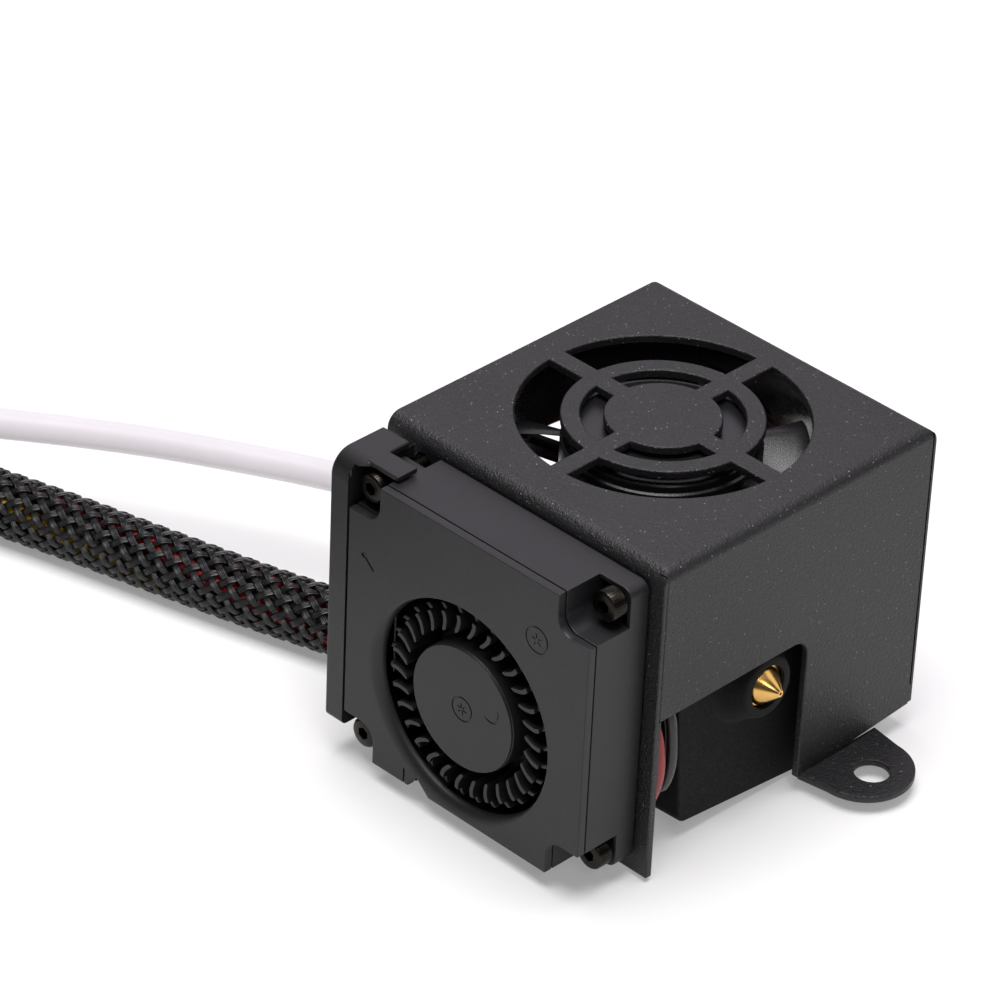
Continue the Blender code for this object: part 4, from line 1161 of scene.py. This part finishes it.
def fan_blade(inner, outer, low, high, lean, thick):
    """A cambered, pitched blade that climbs from low to high while it turns by lean."""
    bm = bmesh.new()
    rows, columns = 8, 12
    grid = []
    for side in (0, 1):
        sheet = []
        for i in range(rows + 1):
            reach = i / rows
            radius = inner + (outer - inner) * reach
            line = []
            for k in range(columns + 1):
                share = k / columns
                angle = radians(3.0 * reach + lean * share)
                height = low + (high - low) * (share + 0.25 * share * (1 - share))
                edge = min(1.0, 4.5 * min(share, 1 - share) + 0.35)
                height += side * thick * edge + (1 - edge) * thick / 2 * (1 - side)
                line.append(
                    bm.verts.new(Vector((radius * cos(angle), radius * sin(angle), height)) * MM)
                )
            sheet.append(line)
        grid.append(sheet)
    for sheet in grid:
        for i in range(rows):
            for k in range(columns):
                bm.faces.new((sheet[i][k], sheet[i][k + 1], sheet[i + 1][k + 1], sheet[i + 1][k]))
    low_sheet, high_sheet = grid
    rim = [(i, 0) for i in range(rows)] + [(rows, k) for k in range(columns)]
    rim += [(rows - i, columns) for i in range(rows)] + [(0, columns - k) for k in range(columns)]
    for (i, k), (m, n) in zip(rim, rim[1:] + rim[:1]):
        bm.faces.new((low_sheet[i][k], low_sheet[m][n], high_sheet[m][n], high_sheet[i][k]))
    return closed(bm)


def fan_rotor():
    top = 9.6
    cup = turned(
        [(0, 8.4), (11.3, 8.4), (11.3, 2.0), (HUB, 2.0), (HUB, 7.6), (HUB - 0.08, 7.72),
         (HUB - 0.3, 7.8), (HUB - 0.38, 7.9), (HUB - 0.38, 8.5), (HUB - 0.46, 8.72),
         (HUB - 0.7, 8.95), (HUB - 1.0, 9.05), (HUB - 1.7, 9.05), (HUB - 1.78, 9.12),
         (HUB - 1.86, 9.4), (HUB - 1.96, 9.54), (HUB - 2.2, top), (4.5, top),
         (4.38, top - 0.06), (4.3, top - 0.2), (4.18, top - 0.25), (0, top - 0.25)],
        96,
    )
    step = 360 / FAN_BLADES
    blades = [
        moved(fan_blade(HUB - 0.5, BLADE_TIP, 2.4, 6.6, 29, 0.9), degrees=FAN_REST + step * k)
        for k in range(FAN_BLADES)
    ]
    piece("fan_wheel", joined(cup, merged(blades)), "wheel", FAN_WHEEL,
          FAN, "axial_fan_rotor")


def repaint_motor(fan):
    repaint(f"{fan}_magnet", "ferrite", 0.15)
    repaint(f"{fan}_shaft", "steel", 0.1)
    repaint(f"{fan}_bearing", "bushing", 0.1)
    repaint(f"{fan}_stator", "copper", 0.15)


def axial_fan():
    fan_frame()
    fan_rotor()
    repaint_motor("axial_fan")
    for k, (x, y) in enumerate(stud_places()):
        nut("stud_nut", k, 5.5, 2.4, M3 + GAP, placed(DESIGN, (x, y, FAN_LOW - GAP - 2.4)),
            f"fan_nut_{k + 1}")


def nut(name, index, flats, thick, bore, where, node):
    """A hexagon nut with chamfered corners."""
    corner = flats / 2 / cos(pi / 6)
    dome = turned(
        [(0, -0.1), (flats / 2, -0.1), (corner + 0.1, 0.42), (corner + 0.1, thick - 0.42),
         (flats / 2, thick + 0.1), (0, thick + 0.1)],
        48,
    )
    hole = turned(
        [(0, -1), (bore + 1.0, -1), (bore + 0.3, 0.0), (bore, 0.35), (bore, thick - 0.35),
         (bore + 0.3, thick), (bore + 1.0, thick + 1), (0, thick + 1)],
        32,
    )
    body = cut(combined(prism(hexagon(flats), 0, thick), "INTERSECT", [dome]), hole)
    piece(f"{name}_{index + 1}", body, "zinc", KIT, where, node, edge=0.06)


# Blower ---------------------------------------------------------------------------------

NOTCH = [(-0.5, 30.4), (0.3, 30.4), (2.4, 28.95), (1.8, 28.9), (-0.3, 26.6), (-0.5, 26.6)]
NOTCH_BACK = [(-15.2, 3.6), (-14.25, 3.6), (-12.7, 6.3), (-12.7, 9.8), (-15.2, 9.8)]
RIM_INSET, RIM_DEEP = 0.55, 1.3  # the flange's sunk face
DUCT_POCKET = ((20.4, 25.0), (14.3, 18.9))
DUCT_WEB = [(21.2, 13.9, 0), (23.4, 13.9, 0), (23.4, 19.2, 1.05), (21.2, 19.2, 1.05)]
DUCT_WEB_LOW = 1.9


def notched_outline(inset=0.0):
    """The blower body: a square whose corners give way to the screws' pockets."""
    (x0, x1), (y0, y1) = BODY_X, BODY_Y
    x0, x1, y0, y1 = x0 + inset, x1 - inset, y0 + inset, y1 - inset
    size, turn = POCKET, POCKET_ROUND
    return rounded([
        (x0 + size, y0, 0), (x1 - size, y0, 0), (x1 - size, y0 + size, turn),
        (x1, y0 + size, 0), (x1, y1 - size, 0), (x1 - size, y1 - size, turn),
        (x1 - size, y1, 0), (x0 + size, y1, 0), (x0 + size, y1 - size, turn),
        (x0, y1 - size, 0), (x0, y0 + size, 0), (x0 + size, y0 + size, turn),
    ], 8)


def blower_screw_spots():
    """The four screws in the blower's frame; the last two also hold the air duct."""
    return [(z - BLOWER_Z, y - BLOWER_Y) for y, z in screw_places()]


def edge_notch(low, high):
    """The V-shaped notch in the body's lower edge, beside the intake's lip."""
    outline = [(BODY_X[0] + up, y - BLOWER_Y) for up, y in NOTCH]
    return prism(outline, low, high)


def blower_base():
    corners = [(x, y, 1.4) for x, y in rectangle(BODY_X, BODY_Y)]
    plate = softened(prism(rounded(corners, 8), 0, EAR_THICK), 0.18)
    sunk = [
        (x + (RIM_INSET if x < 0 else -RIM_INSET), y + (RIM_INSET if y < 0 else -RIM_INSET), 0.9)
        for x, y in rectangle(BODY_X, BODY_Y)
    ]
    plate = cut(plate, prism(rounded(sunk, 8), EAR_THICK - RIM_DEEP, EAR_THICK + 1))
    bosses = [
        moved(cylinder(SCREW_HEAD_R - 0.1, 0.5, EAR_THICK, 32), (x, y, 0))
        for x, y in blower_screw_spots()
    ]
    plate = joined(plate, merged(bosses))
    seam = BLOWER_DEEP - LID
    body = joined(plate, softened(prism(notched_outline(), 0, seam - 0.12), 0.12))
    body = cut(body, prism(notched_outline(WALL), WALL, BLOWER_DEEP))
    holes = bores(blower_screw_spots(), -1, 4)
    holes += bores([(LEAD_HOLE[1] - BLOWER_Z, LEAD_HOLE[0] - BLOWER_Y)], -1, 2, 1.8)
    outlet = box((-9.0, 17.0), (BODY_Y[1] - 3, BODY_Y[1] + 3), (WALL, seam - 1.0))
    body = joined(body, prism(NOTCH_BACK, WALL / 2, seam - 0.12))
    body = cut(body, merged(holes), outlet, edge_notch(WALL + 1.4, BLOWER_DEEP))
    pocket = box(*DUCT_POCKET, (-0.5, EAR_THICK + 0.2))
    web = softened(prism(rounded(DUCT_WEB), DUCT_WEB_LOW, EAR_THICK), 0.12)
    web_holes = merged(bores(blower_screw_spots()[2:], -1, 4))
    body = joined(cut(body, pocket), cut(web, web_holes))
    body = joined(body, sleeve(2.1, 2.7, WALL / 2, 6.2))
    piece("blower_body", body, "fan", KIT, BLOWER, "blower_base")


def intake_cutter():
    """The intake with its lip, which is broad on the side away from the arrow."""
    bm = bmesh.new()
    steps, low, high = 128, BLOWER_DEEP - LID, BLOWER_DEEP
    lip_turn, lip_most, lip_least = 142.0, 1.75, 0.3
    rings = []
    for rise in (-1.0, 0.0, 0.25, 0.5, 0.72, 0.88, 0.97, 1.0, 1.6):
        ring = []
        for k in range(steps):
            angle = tau * k / steps
            lean = (1 + cos(angle - radians(lip_turn))) / 2
            lip = lip_least + (lip_most - lip_least) * eased((lean - 0.3) / 0.6)
            depth = min(1.0, max(0.0, rise))
            radius = INTAKE + lip * (1 - (1 - depth**2) ** 0.5 if rise < 1.0 else 1.0)
            height = low + (high - low) * rise
            spot = Vector((radius * cos(angle), radius * sin(angle), height))
            ring.append(bm.verts.new(spot * MM))
        rings.append(ring)
    return skinned(bm, rings)


def face_spot(y, z):
    """A spot of the blower's face, given by its design Y and Z."""
    return (z - BLOWER_Z, y - BLOWER_Y, 0)


def blower_lid():
    low, high = BLOWER_DEEP - LID, BLOWER_DEEP
    lid = cut(prism(notched_outline(), low, high), edge_notch(low - 1, high + 1))
    lid = cut(softened(lid, 0.16), intake_cutter())
    slit = box((BODY_X[0] - 1, BODY_X[0] + 2.2), (31.0 - BLOWER_Y, 31.28 - BLOWER_Y),
               (low - 1, high + 1))
    mark_at, arrow_at, arrow_turn = face_spot(10.3, 34.1), face_spot(38.3, 30.7), 47
    arrow_z, ray_z = (high - 0.14, high + 1), (high - 0.09, high + 1)
    ring_mark = moved(sleeve(1.62, 1.84, high - 0.1, high + 1), mark_at)
    arrow = moved(box((-1.3, 1.3), (-0.17, 0.17), arrow_z), arrow_at, arrow_turn)
    barb = moved(box((0.7, 1.3), (-0.45, 0.45), arrow_z), arrow_at, arrow_turn)
    rosette = [
        moved(box((0.25, 0.85), (-0.09, 0.09), ray_z), mark_at, 72 * k + 10) for k in range(5)
    ]
    lid = cut(lid, slit, merged([ring_mark, *rosette]), joined(arrow, barb))
    piece("blower_lid", lid, "fan", KIT, BLOWER, "blower_cover")


def impeller_blade():
    """A forward-curved blade between the impeller's two blade radii."""
    return joined(blade_part(0.0, 0.76, 9.1), blade_part(0.7, 1.0, 8.5))


def blade_part(start, end, top):
    """The part of a curved blade between two shares of its reach."""
    outline, half = [], 0.31
    for side in (-1, 1):
        edge = []
        for k in range(11):
            share = start + (end - start) * k / 10
            radius = BLADE_IN - 0.3 + (IMPELLER - 0.1 - BLADE_IN) * share
            tip = min(1.0, 9.0 * (share - start) + 0.5)
            angle = -0.075 * sin(pi * 0.85 * share) + side * half * tip / radius
            edge.append((radius * cos(angle), radius * sin(angle)))
        outline += edge if side < 0 else edge[::-1]
    return prism(outline, 2.6, top)


def impeller():
    top = 9.6
    cup = turned(
        [(0, 8.6), (IMPELLER_HUB - 1, 8.6), (IMPELLER_HUB - 1, 2.0), (IMPELLER, 2.0),
         (IMPELLER, 2.8), (IMPELLER_HUB, 2.8), (IMPELLER_HUB, 9.25), (IMPELLER_HUB - 0.1, 9.3),
         (IMPELLER_HUB - 0.1, top), (0, top)],
        96,
    )
    centre_ring = sleeve(1.5, 1.72, top - 0.12, top + 1)
    rays = [
        moved(box((0.2, 0.8), (-0.1, 0.1), (top - 0.1, top + 1)), degrees=60 * k + 15)
        for k in range(6)
    ]
    crescent = cut(
        cylinder(1.35, top - 0.1, top + 1, 40),
        moved(cylinder(1.35, top - 1, top + 2, 40), (0.28, 0.22, 0)),
    )
    marks = merged([centre_ring, *rays, moved(crescent, face_spot(17.2, 19.8))])
    turn = 360 / IMPELLER_BLADES
    blades = [moved(impeller_blade(), degrees=turn * k) for k in range(IMPELLER_BLADES)]
    wheel = cut(softened(joined(cup, merged(blades)), 0.08), marks)
    piece("impeller_wheel", wheel, "fan", BLOWER_WHEEL, BLOWER,
          "blower_impeller")


def air_duct():
    """The outlet's elbow: a hollow shell past the blower's end, with lugs and an arm."""
    y0 = BODY_Y[1] + GAP
    y1 = y0 + 3.0
    x0, x1 = DUCT_LOW - BLOWER_Z, DUCT_HIGH - BLOWER_Z
    low, high = 1.1, BLOWER_DEEP
    lap, top = 40.45 - BLOWER_Y, BODY_X[1] + GAP  # the top plate laps over the blower's end
    profile = [(x0, low, 0), (x1, low, 0), (x1, high, DUCT_ROUND), (x0, high, 0.8)]
    shell = softened(prism(rounded(profile, 14), lap, y1, "y"), 0.3, 3)
    beneath = box((x0 - 1, top), (lap - 1, y0), (low - 1, high + 1))
    corner = prism([(lap - 1, 7.6), (lap, 7.6), (y0 + 0.15, 9.3), (y0 + 0.15, 11), (lap - 1, 11)],
                   top - 1.5, x1 + 1, "x")
    shell = cut(shell, beneath, corner)
    hollow = box((x0 + 4.0, x1 - 6.0), (y0 - 1, y1 - 0.9), (low + 0.9, high - 1.1))
    mouth = box((x0 - 1, x0 + 5.0), (y0 + 0.8, y1 - 0.9), (low + 0.9, high - 1.1))
    body = cut(shell, hollow, mouth)
    for x, y in blower_screw_spots()[2:]:
        lug = joined(
            moved(softened(cylinder(SCREW_HEAD_R, EAR_THICK + GAP, LUG_TOP, 40), 0.15), (x, y, 0)),
            box((x - 1.2, x + 2.1), (y, y0 + 0.5), (EAR_THICK + GAP, LUG_TOP)),
        )
        body = joined(body, lug)
    arm = softened(box((top, x1), (35.8 - BLOWER_Y, lap + 0.5), (4.45, 7.6)), 0.14)
    body = joined(body, arm)
    holes = merged(bores(blower_screw_spots()[2:], 0, 8))
    piece("outlet_duct", cut(body, holes), "duct", KIT, BLOWER, "air_duct")


def cap_screw(index, x, y, head_low, reach):
    """A socket screw: knurled, chamfered head, hexagonal socket and threaded shank."""
    rim, top = SCREW_HEAD_R, head_low + SCREW_HEAD
    head = turned(
        [(0, head_low), (rim - 0.1, head_low), (rim, head_low + 0.1), (rim, top - 0.3),
         (rim - 0.1, top - 0.12), (rim - 0.3, top), (0, top)],
        72,
    )
    grooves = 36
    knurl = [
        moved(box((rim - 0.07, rim + 0.5), (-0.05, 0.05), (head_low - 1, top - 0.3)),
              degrees=360 / grooves * k)
        for k in range(grooves)
    ]
    head = cut(head, merged(knurl))
    thread = [(0, reach)]
    pitch = 0.45
    count = int((head_low - 1.5 - reach) / pitch)
    for k in range(count):
        bottom = reach + pitch * k
        thread += [(SCREW_R - 0.22, bottom), (SCREW_R, bottom + pitch / 2)]
    thread += [(SCREW_R - 0.1, reach + pitch * count), (SCREW_R - 0.1, head_low + 0.3),
               (0, head_low + 0.3)]
    body = joined(head, turned(thread, 32))
    body = cut(body, prism(hexagon(1.5), head_low + 0.9, head_low + 3))
    piece(f"cap_screw_{index + 1}", body, "black_screw", KIT,
          placed(BLOWER, (x, y, 0)), f"blower_screw_{index + 1}")


def blower():
    blower_base()
    blower_lid()
    impeller()
    air_duct()
    repaint_motor("blower")
    nut_end = -(SHEET + 2 * GAP + 2.0)
    for k, (x, y) in enumerate(blower_screw_spots()):
        seat = (EAR_THICK if k < 2 else LUG_TOP) + GAP
        cap_screw(k, x, y, seat, nut_end - 0.4)
        where = placed(BLOWER, (x, y, nut_end), (0, 0, 30))
        nut("blower_fixing_nut", k, NUT_FLATS, 2.0, SCREW_R + GAP, where, f"blower_nut_{k + 1}")


# Hotend ---------------------------------------------------------------------------------


def nozzle():
    cone = [(0.2, 0.0), (TIP_FLAT - 0.05, 0.0), (TIP_FLAT, 0.05), (2.36, 2.3), (2.46, 2.5),
            (2.5, 2.7), (2.5, CONE_END + 0.1)]
    cone += [(2.7, CONE_END + 0.1), (2.7, THREAD_END), (TUBE_BORE, THREAD_END)]
    cone += [(TUBE_BORE, 2.2), (0.2, 0.8)]
    collar = cut(
        prism(hexagon(HEX_FLATS), CONE_END, HEX_END, "y"),
        cylinder(2.0, 0, HEX_END + 2, 32, "y"),
    )
    piece("brass_nozzle", joined(turned(cone, 96, "y"), collar), "brass", KIT, BLOCK,
          "nozzle")


def sock():
    """The silicone sock: a slack boot over the block with a tapered snout for the nozzle."""
    front, back = 5.6, 16.4
    outline = rounded([
        (-10.3, -16.9, 1.6), (12.6, -17.5, 1.6), (13.2, 6.4, 2.0), (-12.3, 6.4, 2.0),
    ], 8)
    body = softened(prism(outline, front, back, "y"), 0.35, 3)
    snout = turned(
        [(0, 2.0), (3.75, 2.0), (3.98, 2.12), (4.15, 2.4), (4.5, 3.1), (4.95, 4.0),
         (5.45, 4.9), (5.9, 5.35), (6.4, 5.6), (6.4, front + 0.6), (0, front + 0.6)],
        96, "y",
    )
    (x0, x1), (z0, z1) = BLOCK_X, BLOCK_Z
    room = prism(
        rectangle((x0 - GAP, x1 + GAP), (z0 - GAP, z1 + GAP)), BLOCK_Y[0] - GAP, back + 1, "y"
    )
    bore = turned(
        [(0, 1), (3.0, 1), (2.86, 2.1), (2.78, CONE_END - 0.2), (3.9, CONE_END - 0.2),
         (3.9, front + 3), (0, front + 3)], 64, "y"
    )
    lead_slot = box((-14.0, x0), (9.4, 18.0), (-13.2, -1.6))
    piece("sock", cut(joined(body, snout), room, bore, lead_slot), "silicone",
          KIT, BLOCK, "silicone_sock")


def heat_sink():
    y0, y1 = SINK_Y
    core, pitch = 5.6, (SINK_Y[1] - SINK_Y[0] - FIN) / (FINS - 1)
    right = []
    for k in range(FINS):
        low = y0 + pitch * k
        right += [(SINK_X, low), (SINK_X, low + FIN)]
        if k < FINS - 1:
            right += [(core, low + FIN), (core, low + pitch)]
    outline = right + [(-x, y) for x, y in reversed(right)]
    body = prism(outline, -SINK_Z, SINK_Z)
    bore = turned(
        [(0, y0 - 1), (M6 + GAP, y0 - 1), (M6 + GAP, 31.3), (TUBE_R + GAP, 31.3),
         (TUBE_R + GAP, 39.0), (M6 + GAP, 39.0), (M6 + GAP, y1 + 1), (0, y1 + 1)],
        48, "y",
    )
    holes = bores([(-3.7, 42.6), (3.7, 42.6)], -SINK_Z - 1, -3.6, M3 - 0.2)
    piece("finned_sink", cut(body, bore, merged(holes)), "anodised",
          KIT, HOTEND, "heat_sink", edge=0.14)


def fitting():
    body = prism(hexagon(10.0), SINK_Y[1] + GAP, 52.2, "y")
    dome = turned(
        [(0, SINK_Y[1]), (5.0, SINK_Y[1]), (5.9, SINK_Y[1] + 0.9), (5.9, 50.8), (4.9, 52.3),
         (0, 52.3)],
        64, "y",
    )
    thread = cylinder(M6, 39.4, SINK_Y[1] + 1, 48, "y")
    bore = turned(
        [(0, 38), (TUBE_R + GAP, 38), (TUBE_R + GAP, 47.4), (3.6, 47.4), (3.6, 54), (0, 54)],
        48, "y",
    )
    body = combined(body, "INTERSECT", [dome])
    piece("push_fitting", cut(joined(body, thread), bore), "nickel", KIT,
          HOTEND, "tube_fitting", edge=0.1)


def collet():
    inner = TUBE_R + GAP
    lip = 52.2 + COLLET_TRAVEL_ROOM
    body = turned(
        [(inner, 50.1), (3.0, 50.1), (3.3, 50.9), (3.3, lip), (4.35, lip), (4.5, lip + 0.15),
         (4.5, lip + 1.25), (4.2, lip + 1.6), (inner + 0.25, lip + 1.6), (inner, lip + 1.4)],
        64, "y",
    )
    slits = [
        moved(box((2.0, 4.0), (49.5, 52.2), (-0.2, 0.2)), degrees=90 * k, axis="Y")
        for k in range(4)
    ]
    piece("collet", cut(body, merged(slits)), "gloss", COLLET, HOTEND,
          "fitting_collet", edge=0.06)


def hotend():
    nozzle()
    sock()
    heat_sink()
    fitting()
    collet()
    for node, finish, edge in (
        ("heater_block", "aluminium", 0.2), ("heater_cartridge", "steel", 0.1),
        ("cartridge_grub_screw", "black_screw", 0.05), ("thermistor", "steel", 0.1),
        ("thermistor_screw", "zinc", 0.1), ("heat_break", "steel", 0.1),
        ("fitting_seal", "silicone", 0.2), ("tube_liner", "ptfe", 0.0),
    ):
        repaint(node, finish, edge)


# Leads ----------------------------------------------------------------------------------

HEATER_ROUTE = [
    (7.6, 9.8, 8.0), (4.4, 6.8, 7.2), (2.6, 3.4, 8.2), (2.3, 1.6, 12.0), (2.3, 1.4, 16.4),
    (2.3, 2.7, 20.4), (2.3, 6.0, 23.8), (2.4, 13.0, 25.6), (2.6, 24.0, 24.0), (3.0, 34.0, 19.0),
    (4.2, 42.0, 12.0),
]
PROBE_ROUTE = [
    (7.4, 9.2, 13.0), (5.4, 6.4, 10.4), (4.7, 3.2, 9.6), (4.7, 1.7, 12.6), (4.7, 1.5, 17.0),
    (4.7, 2.4, 21.4), (4.6, 5.6, 25.0), (4.4, 13.0, 27.8), (4.0, 24.0, 27.0), (3.9, 34.0, 22.6),
    (3.8, 42.6, 14.6),
]
FAN_RED_ROUTE = [
    (20.4, 42.7, 31.4), (15.6, 45.2, 30.0), (11.6, 46.0, 26.0), (10.6, 46.0, 20.0),
    (10.4, 46.0, 14.0),
]
FAN_BLACK_ROUTE = [
    (18.8, 41.6, 31.4), (14.0, 44.2, 28.6), (9.8, 45.2, 23.6), (8.8, 45.6, 18.0),
    (8.2, 45.6, 13.0),
]
BLOWER_YELLOW_ROUTE = [(-1.9, 34.2, 9.3), (1.6, 34.2, 9.3), (3.6, 36.6, 8.4), (5.2, 41.0, 5.2)]
BLOWER_BLACK_ROUTE = [(-1.9, 34.2, 7.7), (1.6, 34.2, 7.7), (4.4, 36.4, 5.8), (7.2, 41.0, 2.6)]
LEADS = {
    "heater_lead": (HEATER_ROUTE, 0.9, "red"),
    "thermistor_lead": (PROBE_ROUTE, 0.75, "black"),
    "axial_fan_lead_black": (FAN_BLACK_ROUTE, 0.6, "black"),
    "axial_fan_lead_red": (FAN_RED_ROUTE, 0.6, "red"),
    "blower_lead_black": (BLOWER_BLACK_ROUTE, 0.6, "black"),
    "blower_lead_yellow": (BLOWER_YELLOW_ROUTE, 0.6, "yellow"),
}
ENTRY_R, ENTRY_ANGLES = 2.3, (165, 125, 85, 45, 300, 230)


def from_block(x, y, z):
    """A point of the heater block's frame, in the design frame."""
    return (DESIGN.inverted() @ BLOCK @ (Vector((x, y, z)) * MM)) / MM


def collar_entry(degrees):
    """The last two points of a lead, straight into the collar's first end."""
    ahead = (COLLAR_END - COLLAR_START).normalized()
    across = ahead.cross(Vector((0, 0, 1))).normalized()
    over = across.cross(ahead)
    spot = COLLAR_START + ENTRY_R * (
        cos(radians(degrees)) * across + sin(radians(degrees)) * over
    )
    return [spot - ahead * 2.4, spot - ahead * 0.05]


def leads():
    heater_y, heater_z = HEATER_AT
    starts = {
        "heater_lead": [from_block(BLOCK_X[0] - 0.9, heater_y, heater_z)],
        "thermistor_lead": [from_block(BLOCK_X[0] - 0.9, heater_y, PROBE_Z)],
    }
    for (name, (route, radius, finish)), angle in zip(LEADS.items(), ENTRY_ANGLES):
        route = starts.get(name, []) + route + collar_entry(angle)
        wire(f"{name}_wire", smooth_route(route, 1.2), radius, finish, KIT,
             DESIGN, name, sides=5)


camera()
harness()
feed_tube()
studio()
cover()
axial_fan()
blower()
hotend()
leads()

bpy.context.view_layer.update()
